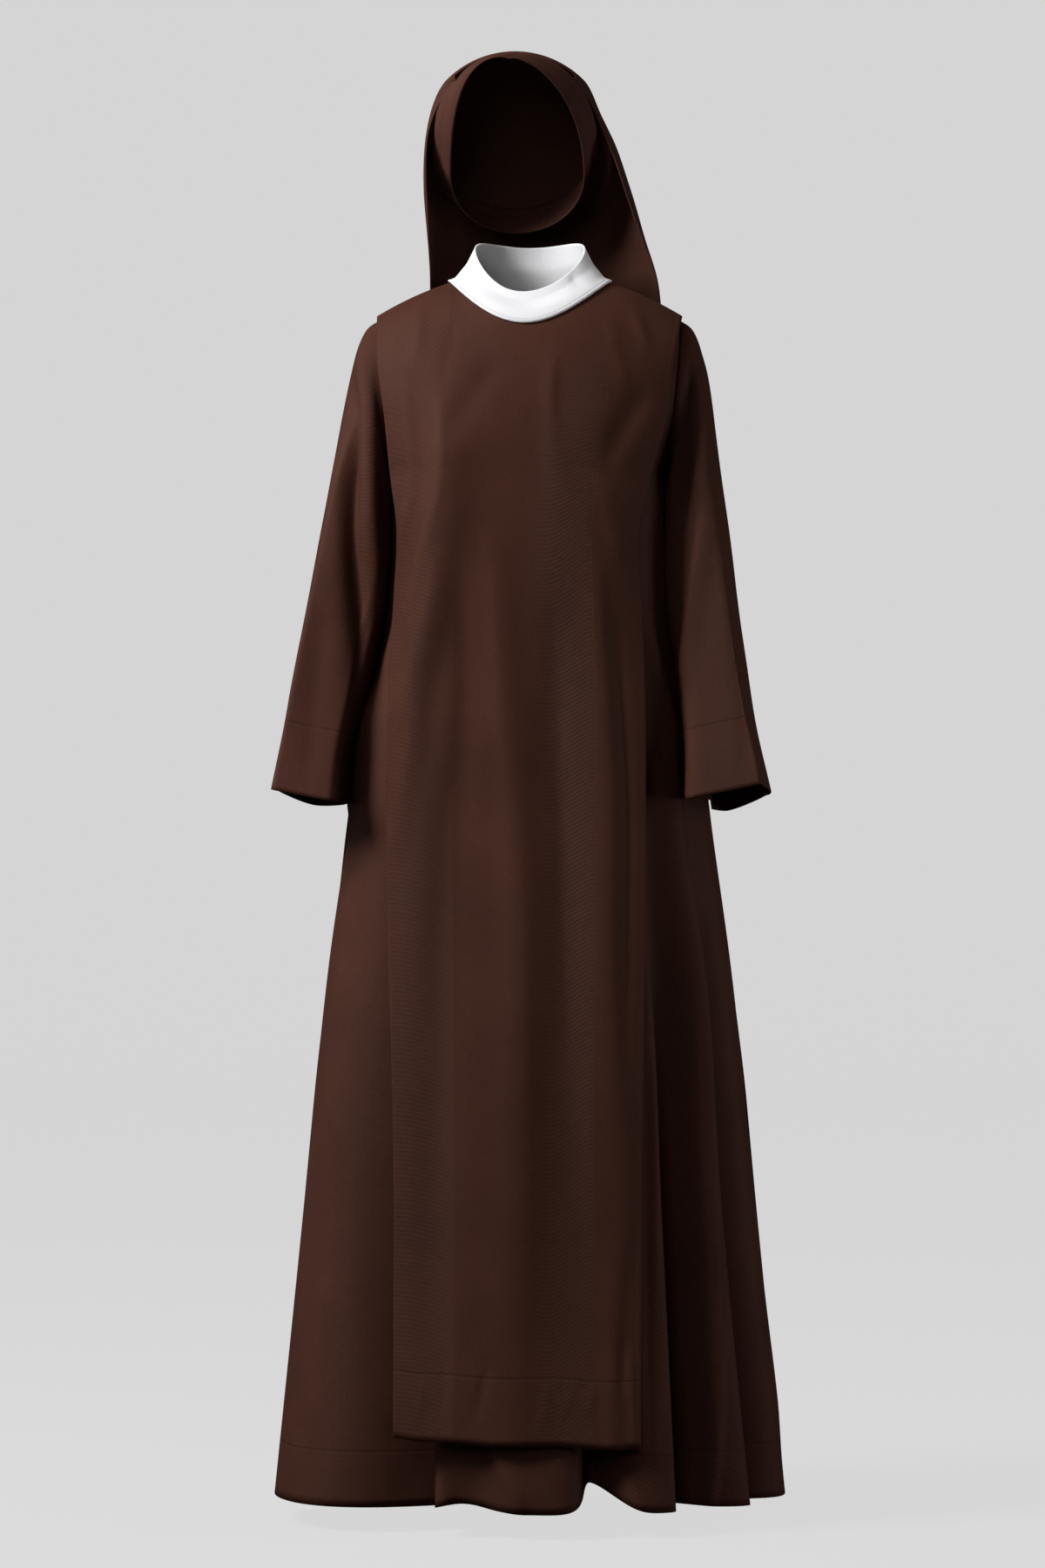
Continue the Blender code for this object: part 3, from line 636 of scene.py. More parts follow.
def fold_columns(low, high, count):
    """Angles of the columns, closer together where a fold is."""
    fine = np.linspace(low, high, 1441)
    crowd = np.ones_like(fine)
    for place, before, after in zip(FOLDS["hem"], FOLDS["before"], FOLDS["after"]):
        crowd = crowd + 14.0 / (before + after) * np.exp(-((from_fold(fine, place) / 11.0) ** 2))
    travelled = np.concatenate([[0.0], np.cumsum((crowd[1:] + crowd[:-1]) / 2.0)])
    steps = np.linspace(0.0, travelled[-1], count + 1)
    return np.interp(steps, travelled, fine)


def seen(grid):
    """Where each point lies on a plane through the neck, seen from straight ahead, in mm."""
    nearer = EYE_AWAY / (EYE_AWAY + grid[..., 1])
    across = 608.5 + 1000.0 * grid[..., 0] * nearer
    down = 345.0 - 1000.0 * ((grid[..., 2] - EYE_Z) * nearer + EYE_Z)
    return across, down


def creases(rows, grid):
    """Sum of soft ridges and troughs along lines, in metres.

    Across a line the height falls off as exp(-(d / width)^2), and along it as a soft step in
    and out over the last third at each end.
    """
    across, down = seen(grid)
    total = np.zeros(across.shape)
    for a, d, to_a, to_d, before, after, height in zip(*rows.values()):
        length = np.hypot(to_a - a, to_d - d)
        along = ((across - a) * (to_a - a) + (down - d) * (to_d - d)) / length**2
        away = ((across - a) * (to_d - d) - (down - d) * (to_a - a)) / length
        width = np.where(away < 0.0, before, after)
        ends = ease((along + 0.18) / 0.36) * ease((1.18 - along) / 0.36)
        total = total + height / 1000.0 * np.exp(-((away / width) ** 2)) * ends
    return total


def winding(lines, grid):
    """Sum of folds that follow smooth curves down the cloth, in metres."""
    across, down = seen(grid)
    total = np.zeros(across.shape)
    for line in lines:
        at = {name: curve(line["down"], column, down) for name, column in line.items()}
        away = across - at["across"]
        width = np.where(away < 0.0, at["before"], at["after"])
        total = total + at["height"] / 1000.0 * np.exp(-((away / width) ** 2))
    return total


def outward(grid, tube):
    """Unit directions out of the cloth, from the steps between neighbouring points."""
    down = np.gradient(grid, axis=0)
    if tube:
        right = np.roll(grid, -1, axis=1) - np.roll(grid, 1, axis=1)
    else:
        right = np.gradient(grid, axis=1)
    out = np.cross(down, right)
    return out / np.maximum(np.linalg.norm(out, axis=-1, keepdims=True), 1e-12)


def ripple(grid, size, height, seed):
    """Gentle unevenness of hanging cloth: a sum of a few long sine waves of unlike directions."""
    source = np.random.default_rng(seed)
    total = np.zeros(grid.shape[:2])
    for _ in range(7):
        way = source.normal(size=3) * (1.0, 1.0, 0.35)
        wave = 2.0 * np.pi / (size * source.uniform(0.6, 1.8))
        total = total + np.sin(grid @ (way / np.linalg.norm(way)) * wave + source.uniform(0.0, 6.3))
    return total * height / 7.0


def tunic_panel(side, columns=240, yoke_rows=36, skirt_rows=116):
    """Front or back panel of the tunic, with the folds drawn in towards the body's axis."""
    low, high = (-90.0, 90.0) if side == "front" else (90.0, 270.0)
    angle = fold_columns(low, high, columns)
    sine = np.sin(np.radians(angle))
    places = np.sign(sine) * np.abs(sine) ** (2.0 / PLAN_ROUND)
    hem = np.full_like(angle, HEM_Z)
    for place, width, lift in zip(*HEM_LIFT.values()):
        hem = hem + lift * np.exp(-((from_fold(angle, place) / width) ** 2))
    grid = panel(side, places, tunic_edge, 0.0, 0.0, hem, yoke_rows, skirt_rows)
    z = grid[..., 2]
    drawn = fold_depth(angle, z) - creases(TUNIC_CREASES[side], grid)
    if side == "front":
        drawn = drawn - winding(TUNIC_FOLDS, grid)
    drawn = drawn - ripple(grid, 0.22, 0.0010, 3) * ease((-0.25 - z) / 0.2)
    # Under the scapular the tunic lies a little deeper, where the scapular's troughs need room
    inside = scapular_edge(z, grid[..., 0]) - np.abs(grid[..., 0])
    under = ease((inside - 0.006) / 0.022) * ease((-0.02 - z) / 0.08) * ease((z + 1.25) / 0.05)
    drawn = drawn + (SCAPULAR_ROOM + 0.001) * under
    radius = np.hypot(grid[..., 0], grid[..., 1])
    edge_kept = ease((1.0 - np.abs(places)) / 0.02)
    drawn = np.where(z > UNDERARM_Z, drawn * edge_kept, drawn)
    grid[..., :2] *= (1.0 - drawn / radius)[..., None]
    return grid


def scapular_panel(side, columns=130, yoke_rows=44, skirt_rows=130):
    """Front or back panel of the scapular: the tunic's surface moved out, and flatter."""
    places = np.linspace(-1.0, 1.0, columns + 1) * -FACING[side]
    hem = SCAPULAR_HEM_Z - SCAPULAR_HEM_SLANT * (places + 1.0) * SCAPULAR_EDGES["left"][-1]
    hem = hem + 0.0012 * np.sin(places * 7.0) + 0.004 * ease((-0.8 - places) / 0.2)
    grid = panel(side, places, scapular_edge, LAYER, SPREAD, hem, yoke_rows, skirt_rows)
    lift = creases(SCAPULAR_CREASES[side], grid)
    if side == "front":
        lift = lift + winding(SCAPULAR_FOLDS, grid)
    lift = lift + ripple(grid, 0.20, 0.0008, 11)
    lift = lift * ease((0.012 - grid[..., 2]) / 0.05)
    return grid + outward(grid, False) * np.maximum(lift, -SCAPULAR_ROOM)[..., None]


def armhole(round_angle):
    """The armhole as a loop: top at 0, front at a quarter turn, underarm at half a turn."""
    drop = (1.0 - np.cos(round_angle)) / 2.0
    x = arm_half(drop)
    z = edge_height(drop)
    front = np.sin(round_angle) > 0.0
    reach = {}
    for side in FACING:
        reach[side] = depth(side, x, z, drop, 0.0, 0.0) * bend(drop, ROUND[side])
    y = np.where(front, -reach["front"], reach["back"])
    clear = SEAM + 0.0024 * drop**1.5
    return np.stack([x + clear, y, z], axis=-1)


def clear_of_tunic(grid):
    """Moves points that would lie inside the tunic out to just beyond its side."""
    x, y, z = grid[..., 0], grid[..., 1], grid[..., 2]
    half = curve(LEVELS["z"], LEVELS["half"], z) + SLEEVE_CLEAR
    front = curve(LEVELS["z"], LEVELS["front"], z)
    back = curve(LEVELS["z"], LEVELS["back"], z)
    reach = np.where(y < 0.0, front, back) + SLEEVE_CLEAR
    level = ((x / half) ** PLAN_ROUND + (np.abs(y) / reach) ** PLAN_ROUND) ** (1.0 / PLAN_ROUND)
    push = 1.0 + (np.maximum(1.0 / level, 1.0) - 1.0) * ease((UNDERARM_Z - z) / 0.02)
    return grid * np.stack([push, push, np.ones_like(push)], axis=-1)


def pressed_section(hand, turn):
    """Flattened section of a sleeve: straight from corner to corner, then each corner softened."""
    section = {}
    for name in ("across", "fore"):
        line = np.interp(np.degrees(turn), PRESSED[hand]["turn"], PRESSED[hand][name])
        for _ in range(PRESSED_SOFT):
            line = (np.roll(line, 1) + 2.0 * line + np.roll(line, -1)) / 4.0
        section[name] = line
    return section


def sleeve(hand, columns=168, rows=110):
    """Sleeve as a tube that starts from the shape of the armhole.

    Its sections are ovals, |cos|^(2/n) across and |sin|^(2/n) forward, at the shoulder and go
    over to the pressed ones towards the cuff.
    """
    sections = SLEEVES[hand]
    turn = np.linspace(0.0, 2.0 * np.pi, columns, endpoint=False)
    station = np.arange(len(sections["outer"]), dtype=float)
    at = np.linspace(0.0, station[-1], rows + 1)[:, None]
    part = {name: curve(station, column, at) for name, column in sections.items()}
    tucked = SLEEVE_TUCK[hand] * ease((at - 0.6) / 1.6) * ease((5.6 - at) / 2.2)
    part["inner"] = part["inner"] - tucked
    across = np.sign(np.cos(turn)) * np.abs(np.cos(turn)) ** (2.0 / SLEEVE_ROUND)
    fore = np.sign(np.sin(turn)) * np.abs(np.sin(turn)) ** (2.0 / SLEEVE_ROUND)
    pressed = ease((at - 2.2) / 4.8)
    flat = pressed_section(hand, turn)
    across = across + (flat["across"] - across) * pressed
    fore = fore + (flat["fore"] - fore) * pressed
    x = (part["outer"] + part["inner"]) / 2.0 + (part["outer"] - part["inner"]) / 2.0 * across
    z = (part["outer_z"] + part["inner_z"]) / 2.0 + (part["outer_z"] - part["inner_z"]) / 2.0 * across
    rise = CUFF_RISE[hand] * np.maximum(fore, 0.0) * (1.0 + across) / 1.66
    fall = CUFF_FALL[hand] * np.maximum(-fore, 0.0) * (1.0 - across**2)
    z = z + (rise - fall) * ease(at / station[-1])
    y = -part["forward"] - part["depth"] * fore
    grid = np.stack([x, y, z], axis=-1)
    blend = (1.0 - ease(at / 3.0))[..., None]
    seam = armhole(turn)
    grid = grid + (seam - grid[0]) * blend
    grid = clear_of_tunic(grid)
    # The first rows are sewn in behind the edge of the tunic's panels
    middle = np.stack([seam[:, 0], np.zeros(columns), np.full(columns, edge_height(0.5))], axis=-1)
    inward = middle - seam
    inward = inward / np.linalg.norm(inward, axis=-1, keepdims=True)
    sewn = (1.0 - ease(at / 0.22))[..., None]
    grid = grid + (ARMHOLE_TUCK * inward - (ARMHOLE_TUCK, 0.0, 0.0)) * sewn
    grid[..., 0] *= SIDE[hand]
    grid = grid if hand == "left" else grid[:, ::-1]
    # The sleeve's columns run the other way round, so its wall lies inside the grid
    out = -outward(grid, True)
    lift = creases(SLEEVE_CREASES[hand], grid) + winding(SLEEVE_FOLDS[hand], grid)
    lift = lift * ease(-out[..., 1] / 0.3)
    lift = lift + creases(SLEEVE_BACK_CREASES[hand], grid) * ease(out[..., 1] / 0.3)
    lift = (lift + ripple(grid, 0.13, 0.0009, 5)) * ease(at / 1.2)
    inner = ease((0.20 - np.abs(grid[..., 0])) / 0.02) * ease(1.0 - np.abs(out[..., 1]) / 0.5)
    return grid + out * (lift * (1.0 - inner))[..., None]


def ring(turn, sizes):
    """Points round the neck: front at 0, the wearer's left at a quarter turn."""
    cosine = np.cos(turn)
    reach = np.where(cosine > 0.0, sizes["front"], sizes["back"])
    lean = COLLAR_LEAN * np.maximum(cosine, 0.0) ** 2
    return sizes["half"] * np.sin(turn) - lean, -reach * cosine


def collar(columns=180, rows=26):
    """Collar: a band that stands round the neck and spreads onto the scapular.

    Each column is a smooth curve through the upper ring, a waist, and two rings on the cloth.
    """
    turn = np.linspace(0.0, 2.0 * np.pi, columns, endpoint=False)
    top_x, top_y = ring(turn, COLLAR_TOP)
    cosine = np.cos(turn)
    top_z = COLLAR_RISE[0] + COLLAR_RISE[1] * cosine + COLLAR_RISE[2] * cosine**2
    top_z = top_z + 0.0012 * np.sin(3.0 * turn + 0.6) * np.maximum(cosine, 0.0)
    low_x, low_y = ring(turn, COLLAR_LOW)
    inward = 1.0 - COLLAR_INSET / np.hypot(low_x, low_y)
    flat = []
    for share in (inward, 1.0):
        x, y = low_x * share, low_y * share
        z = lie_on(x, y, LAYER + CLOTH + COLLAR_GAP + 0.0004, SPREAD)
        flat.append(np.stack([x, y, z], axis=-1))
    top = np.stack([top_x, top_y, top_z], axis=-1)
    middle = (top + flat[0]) / 2.0
    middle[:, :2] *= (1.0 - COLLAR_WAIST / np.hypot(middle[:, 0], middle[:, 1]))[:, None]
    keys = np.array([0.0, 0.42, 0.84, 1.0])
    at = np.linspace(0.0, 1.0, rows + 1)[:, None]
    grid = np.stack([top, middle, *flat])
    shape = [[np.interp(at[:, 0], keys, grid[:, c, k]) for k in range(3)] for c in range(columns)]
    bowed = np.array(shape).transpose(2, 0, 1).copy()
    for _ in range(3):
        bowed[1:-1] = (bowed[:-2] + 2.0 * bowed[1:-1] + bowed[2:]) / 4.0
    share = at[..., None]
    # Soft dents: one crease at the wearer's left front and a shallow wave along the front
    dent = 0.0024 * bell((turn - 0.86) / 0.10) + 0.0014 * bell((turn - 5.5) / 0.20)
    dent = dent + 0.0008 * np.sin(2.0 * turn + 1.0)
    hollow = np.sin(np.pi * share[..., 0]) ** 1.4 * dent
    hollow = hollow * ease((0.92 - share[..., 0]) / 0.2)
    radius = np.hypot(bowed[..., 0], bowed[..., 1])
    bowed[..., :2] *= (1.0 - hollow / radius)[..., None]
    return bowed


def veil_band(columns=200, rows=18):
    """Band: flattened ovals that lean back from the brow to the nape, joined by a soft bow."""
    turn = np.linspace(0.0, 2.0 * np.pi, columns, endpoint=False)
    sine = np.sign(np.sin(turn)) * np.abs(np.sin(turn)) ** (2.0 / BAND_ROUND)
    cosine = np.sign(np.cos(turn)) * np.abs(np.cos(turn)) ** (2.0 / BAND_ROUND)
    at = np.linspace(0.0, 2.0, rows + 1)[:, None]
    ring_at = np.arange(3, dtype=float)
    size = {name: curve(ring_at, column, at) for name, column in BAND_RINGS.items()}
    # The edge at the face leans towards the wearer's right at the brow, and is wider on the left
    at_face = ease((1.2 - at) / 1.2)
    x = HEAD_X - size["half"] * sine * (1.0 + BAND_WIDER * at_face * (sine < 0.0))
    x = x - BAND_LEAN * at_face * np.maximum(cosine, 0.0) ** 2
    z = size["middle"] + np.where(cosine > 0.0, size["up"], size["down"]) * cosine
    y = size["top_y"] + (size["foot_y"] - size["top_y"]) * (1.0 - cosine) / 2.0
    grid = np.stack([x, y, z], axis=-1)
    # Pleats that run round the head from the temples, and a fold at the brow
    pleat = 0.0016 * bell((at - 1.25 - 0.25 * np.sin(turn)) / 0.16) * ease((np.cos(turn) + 0.7) / 0.6)
    pleat = pleat - 0.0010 * bell((at - 0.75 - 0.2 * np.cos(2.0 * turn)) / 0.14)
    tuck = 0.0020 * bell(from_fold(np.degrees(turn), -4.0) / 3.0) * ease((1.2 - at) / 1.0)
    room = ease((2.0 - at) / 0.5)
    return grid + outward(grid, True) * ((pleat - tuck) * room)[..., None]


def veil(rows=120, columns=150):
    """Veil: arcs from the crown to the hem on the back, with ridges that grow towards the hem."""
    station = np.arange(len(VEIL_ARCS["ky"]), dtype=float)
    at = np.linspace(0.0, station[-1], rows + 1)[:, None]
    arc = {name: curve(station, column, at) for name, column in VEIL_ARCS.items()}
    place = np.linspace(1.0, -1.0, columns + 1)
    angle = np.radians(arc["wrap"]) * place
    x = HEAD_X + np.where(place < 0.0, arc["right"], arc["left"]) * np.sin(angle)
    y = arc["ky"] + (arc["py"] - arc["ky"]) * np.cos(angle)
    z = arc["kz"] + (arc["pz"] - arc["kz"]) * np.cos(angle)
    for spot, width, deep, start in zip(*VEIL_RIDGES.values()):
        grown = np.clip((at - start) / (station[-1] - start), 0.0, None)
        y = y + deep * grown * bell((place - spot) / width)
    for spot, drift, width, lift, start, end in zip(*VEIL_FOLDS.values()):
        along = ease((at - start) / 2.0) * ease((end - at) / 2.0)
        y = y + lift * bell((place - spot - drift * at) / width) * along
    # The front edges turn in to the band
    high = ease((6.5 - at) / 2.5)
    corner = VEIL_CORNER * (1.0 - ease(at / 2.5))
    turned = (VEIL_TURN + corner) * ease((np.abs(place) - 0.80) / 0.20) * high
    x = x * (1.0 + VEIL_WIDER * ease(at / 1.5) * high) - turned * np.sign(place)
    behind = surface("back", x, z, LAYER + CLOTH + VEIL_CLEAR + 0.0030, SPREAD)
    y = np.where(behind > 0.0, np.maximum(y, behind), y)
    grid = np.stack([x, y, z], axis=-1)
    lift = ripple(grid, 0.14, 0.0010, 7) * ease((at - 1.0) / 2.0)
    return grid + outward(grid, False) * lift[..., None]


def travelled(grid, axis):
    """Length along the cloth from its first row or column to each point."""
    steps = np.linalg.norm(np.diff(grid, axis=axis), axis=-1)
    start = [(0, 0), (0, 0)]
    start[axis] = (1, 0)
    return np.pad(np.cumsum(steps, axis=axis), start)


def quads(rows, columns, tube):
    """Corners of a grid's faces, row by row. A tube's last column joins its first."""
    index = np.arange(rows * columns).reshape(rows, columns)
    following = np.roll(index, -1, axis=1)
    if not tube:
        index, following = index[:, :-1], following[:, :-1]
    corners = [index[:-1], index[1:], following[1:], following[:-1]]
    return np.stack(corners, axis=-1).reshape(-1, 4)


def cloth_piece(name, grid, wall, finish, nodes, tube=False):
    """Sheet of cloth from a grid of points, with its cut as a UV map and its edges as values."""
    rows, columns = grid.shape[:2]
    mesh = bpy.data.meshes.new(name)
    mesh.from_pydata(grid.reshape(-1, 3).tolist(), [], quads(rows, columns, tube).tolist())
    mesh.shade_smooth()
    mesh.materials.append(finish)
    closed = np.concatenate([grid, grid[:, :1]], axis=1) if tube else grid
    down = travelled(grid, 0)
    right = travelled(closed, 1)
    middle = right[:, -1:] / 2.0
    across = right - middle
    # The cut as UV: metres across from the middle and down from the top, seam by seam
    top = np.repeat(np.arange(rows - 1), closed.shape[1] - 1)
    left = np.tile(np.arange(closed.shape[1] - 1), rows - 1)
    row = np.stack([top, top + 1, top + 1, top], axis=-1).ravel()
    column = np.stack([left, left, left + 1, left + 1], axis=-1).ravel()
    layer = mesh.uv_layers.new(name="cut")
    flat_down = np.concatenate([down, down[:, :1]], axis=1) if tube else down
    pairs = np.stack([across[row, column], -flat_down[row, column]], axis=-1)
    layer.data.foreach_set("uv", pairs.ravel())
    values = {
        "from_hem": down[-1:] - down,
        "from_top": down,
        "from_side": np.minimum(right, right[:, -1:] - right)[:, :columns],
    }
    for label, field in values.items():
        store = mesh.attributes.new(label, "FLOAT", "POINT")
        store.data.foreach_set("value", field.ravel())
    piece = bpy.data.objects.new(name, mesh)
    bpy.context.scene.collection.objects.link(piece)
    solid = piece.modifiers.new("wall", "SOLIDIFY")
    solid.thickness = wall
    solid.offset = 1.0
    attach(piece, "root")
    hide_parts(*nodes)
    return piece


class Shader:
    """A cloth material and the nodes that are added to it."""

    def __init__(self, name):
        self.material = bpy.data.materials.new(name)
        self.material.use_nodes = True
        self.nodes = self.material.node_tree.nodes
        self.links = self.material.node_tree.links
        self.surface = self.nodes["Principled BSDF"]

    def add(self, kind, settings=(), **inputs):
        """One node, with its settings and with its inputs as numbers or links."""
        node = self.nodes.new(kind)
        for name, value in dict(settings).items():
            setattr(node, name, value)
        for name, value in inputs.items():
            self.feed(node, name, value)
        return node

    def feed(self, node, name, value):
        """Sets or links an input, named by its number as i0, i1 or by its words."""
        numbered = name[0] == "i" and name[1:].isdigit()
        socket = node.inputs[int(name[1:]) if numbered else name.replace("_", " ")]
        if isinstance(value, bpy.types.NodeSocket):
            self.links.new(value, socket)
        else:
            socket.default_value = value

    def math(self, operation, *values, clamp=False):
        """A sum, product or other operation on values."""
        node = self.add("ShaderNodeMath", {"operation": operation, "use_clamp": clamp})
        for number, value in enumerate(values):
            self.feed(node, f"i{number}", value)
        return node.outputs[0]

    def value(self, label):
        """A value stored on the cloth's points."""
        return self.add("ShaderNodeAttribute", {"attribute_name": label}).outputs["Fac"]

    def line(self, label, place, width):
        """1 on a line at a distance from an edge, falling to 0 over the width."""
        away = self.math("ABSOLUTE", self.math("SUBTRACT", self.value(label), place))
        return self.math("SUBTRACT", 1.0, self.math("DIVIDE", away, width), clamp=True)

    def dashes(self, axis, step):
        """Stitches: on for part of each step along the cut."""
        cut = self.add("ShaderNodeUVMap", {"uv_map": "cut"}).outputs[0]
        place = self.add("ShaderNodeSeparateXYZ", i0=cut).outputs[axis]
        wave = self.math("SINE", self.math("MULTIPLY", place, 2.0 * np.pi / step))
        return self.math("ADD", self.math("MULTIPLY", wave, 2.5), 1.2, clamp=True)


# Weave, seams and stitches
PLAIN_WEAVE = 420.0
TWILL = {"twill": 130.0, "weave_depth": 0.00012}
THREAD_HEIGHT = 0.00006
GROOVE_WIDTH = 0.0020
GROOVE_DEPTH = 0.0006
STITCH_WIDTH = 0.0008
STITCH_HEIGHT = 0.0005
STITCH_STEP = 0.0042
ACROSS, DOWN = 0, 1  # the way in which a row of stitches runs along the cut


def cloth(name, colour, roughness, seams, sheen=0.015, twill=0.0, weave_depth=0.0001):
    """Woven cloth: fine diagonal weave, soft unevenness of colour, and stitched seams.

    Each seam is a groove at a distance from an edge, as deep as its share says, with its colour
    darkened there as painted shade, and a row of stitches in it.
    """
    s = Shader(name)
    dark, light = colour
    cut = s.add("ShaderNodeUVMap", {"uv_map": "cut"}).outputs[0]
    place = s.add("ShaderNodeTexCoord").outputs["Object"]
    broad = s.add("ShaderNodeTexNoise", Vector=place, Scale=7.0, Detail=3.0, Roughness=0.55).outputs[0]
    slub = s.add("ShaderNodeMapping", Vector=cut, Scale=(900.0, 60.0, 1.0)).outputs[0]
    threads = s.add("ShaderNodeTexNoise", Vector=slub, Scale=1.0, Detail=2.0, Roughness=0.6).outputs[0]
    slub_across = s.add("ShaderNodeMapping", Vector=cut, Scale=(55.0, 800.0, 1.0)).outputs[0]
    weft = s.add("ShaderNodeTexNoise", Vector=slub_across, Scale=1.0, Detail=2.0, Roughness=0.6)
    blend = s.math("ADD", s.math("MULTIPLY", broad, 0.50), s.math("MULTIPLY", threads, 0.28))
    blend = s.math("ADD", blend, s.math("MULTIPLY", weft.outputs[0], 0.22))
    shade = s.add("ShaderNodeMapRange", i0=blend, i1=0.36, i2=0.64, i3=0.0, i4=1.0).outputs[0]
    mix = s.add("ShaderNodeMix", {"data_type": "RGBA"})
    s.feed(mix, "i0", shade)
    s.feed(mix, "i6", (*dark, 1.0))
    s.feed(mix, "i7", (*light, 1.0))
    tone = mix.outputs[2]
    bands = {"bands_direction": "DIAGONAL" if twill else "X"}
    weave = s.add("ShaderNodeTexWave", bands, Vector=cut, Scale=twill or PLAIN_WEAVE, Distortion=0.6,
                  Detail=1.0).outputs[1]
    bands = {"bands_direction": "Y"}
    cross = s.add("ShaderNodeTexWave", bands, Vector=cut, Scale=PLAIN_WEAVE, Distortion=0.6).outputs[1]
    height = s.math("MULTIPLY", s.math("ADD", weave, s.math("MULTIPLY", cross, 0.6)), weave_depth)
    height = s.math("ADD", height, s.math("MULTIPLY", threads, THREAD_HEIGHT))
    groove = None
    thread = None
    for label, far, axis, share in seams:
        line = s.math("MULTIPLY", s.line(label, far, GROOVE_WIDTH), share)
        groove = line if groove is None else s.math("MAXIMUM", groove, line)
        stitch = s.math("MULTIPLY", s.line(label, far, STITCH_WIDTH), s.dashes(axis, STITCH_STEP))
        stitch = s.math("MULTIPLY", stitch, share)
        thread = stitch if thread is None else s.math("MAXIMUM", thread, stitch)
    if groove is not None:
        height = s.math("SUBTRACT", height, s.math("MULTIPLY", groove, GROOVE_DEPTH))
        height = s.math("ADD", height, s.math("MULTIPLY", thread, STITCH_HEIGHT))
        # Painted shade: the cloth's colour is multiplied darker along each seam's groove
        groove_shade_mix = s.add("ShaderNodeMix", {"data_type": "RGBA", "blend_type": "MULTIPLY"})
        s.feed(groove_shade_mix, "i0", s.math("MULTIPLY", groove, 0.34))
        s.feed(groove_shade_mix, "i6", tone)
        s.feed(groove_shade_mix, "i7", (0.35, 0.33, 0.33, 1.0))
        thread_mix = s.add("ShaderNodeMix", {"data_type": "RGBA"})
        s.feed(thread_mix, "i0", s.math("MULTIPLY", thread, 0.5))
        s.feed(thread_mix, "i6", groove_shade_mix.outputs[2])
        s.feed(thread_mix, "i7", (*[min(1.0, c * 1.5) for c in light], 1.0))
        tone = thread_mix.outputs[2]
    s.links.new(tone, s.surface.inputs["Base Color"])
    bump = s.add("ShaderNodeBump", Strength=1.0, Distance=1.0, Height=height).outputs[0]
    s.links.new(bump, s.surface.inputs["Normal"])
    rough = s.add("ShaderNodeMapRange", i0=broad, i1=0.3, i2=0.7, i3=roughness - 0.04,
                  i4=roughness + 0.04)
    s.links.new(rough.outputs[0], s.surface.inputs["Roughness"])
    s.surface.inputs["Metallic"].default_value = 0.0
    s.surface.inputs["Specular IOR Level"].default_value = 0.07
    s.surface.inputs["Sheen Weight"].default_value = sheen
    s.surface.inputs["Sheen Roughness"].default_value = 0.45
    s.surface.inputs["Sheen Tint"].default_value = (*[min(1.0, c**0.5 * 1.5) for c in light], 1.0)
    return s.material


BROWN = ((0.052, 0.0190, 0.0118), (0.076, 0.0284, 0.0184))
VEIL_BROWN = ((0.050, 0.0192, 0.0128), (0.074, 0.0288, 0.0198))
WHITE = ((0.80, 0.80, 0.82), (0.88, 0.88, 0.89))


def dress():
    """Makes every piece of the habit."""
    tunic = cloth("tunic_twill", BROWN, 0.60, [("from_hem", TUNIC_HEM, ACROSS, 0.8)], **TWILL)
    seams = [("from_hem", SCAPULAR_HEM, ACROSS, 0.9), ("from_side", SIDE_HEM, DOWN, 0.3)]
    scapular = cloth("scapular_twill", BROWN, 0.58, seams, **TWILL)
    sleeves = cloth("sleeve_twill", BROWN, 0.60, [("from_hem", SLEEVE_HEM, ACROSS, 0.8)], **TWILL)
    seams = [("from_side", VEIL_HEM, DOWN, 0.5), ("from_hem", VEIL_HEM, ACROSS, 0.6)]
    veils = cloth("veil_plain_weave", VEIL_BROWN, 0.62, seams)
    bands = cloth("band_plain_weave", VEIL_BROWN, 0.62, [("from_top", 0.004, ACROSS, 0.5)])
    seams = [("from_hem", 0.0040, ACROSS, 0.8)]
    white = cloth("collar_white_cotton", WHITE, 0.62, seams, sheen=0.05, weave_depth=0.00006)
    for side, other in (("front", "tunic_back"), ("back", "tunic_front")):
        node = f"tunic_{side}"
        cloth_piece(f"cloth_{node}", tunic_panel(side), CLOTH, tunic, [node])
        node = f"scapular_{side}"
        cloth_piece(f"cloth_{node}", scapular_panel(side), CLOTH, scapular, [node])
    for hand in SLEEVES:
        node = f"sleeve_{hand}"
        cloth_piece(f"cloth_{node}", sleeve(hand), CLOTH, sleeves, [node],
                    tube=True)
    cloth_piece("cloth_collar", collar(), COLLAR_CLOTH, white, ["collar"],
                tube=True)
    cloth_piece("cloth_band", veil_band(), CLOTH, bands, ["veil_band"],
                tube=True)
    cloth_piece("cloth_veil", veil(), CLOTH, veils, ["veil"])


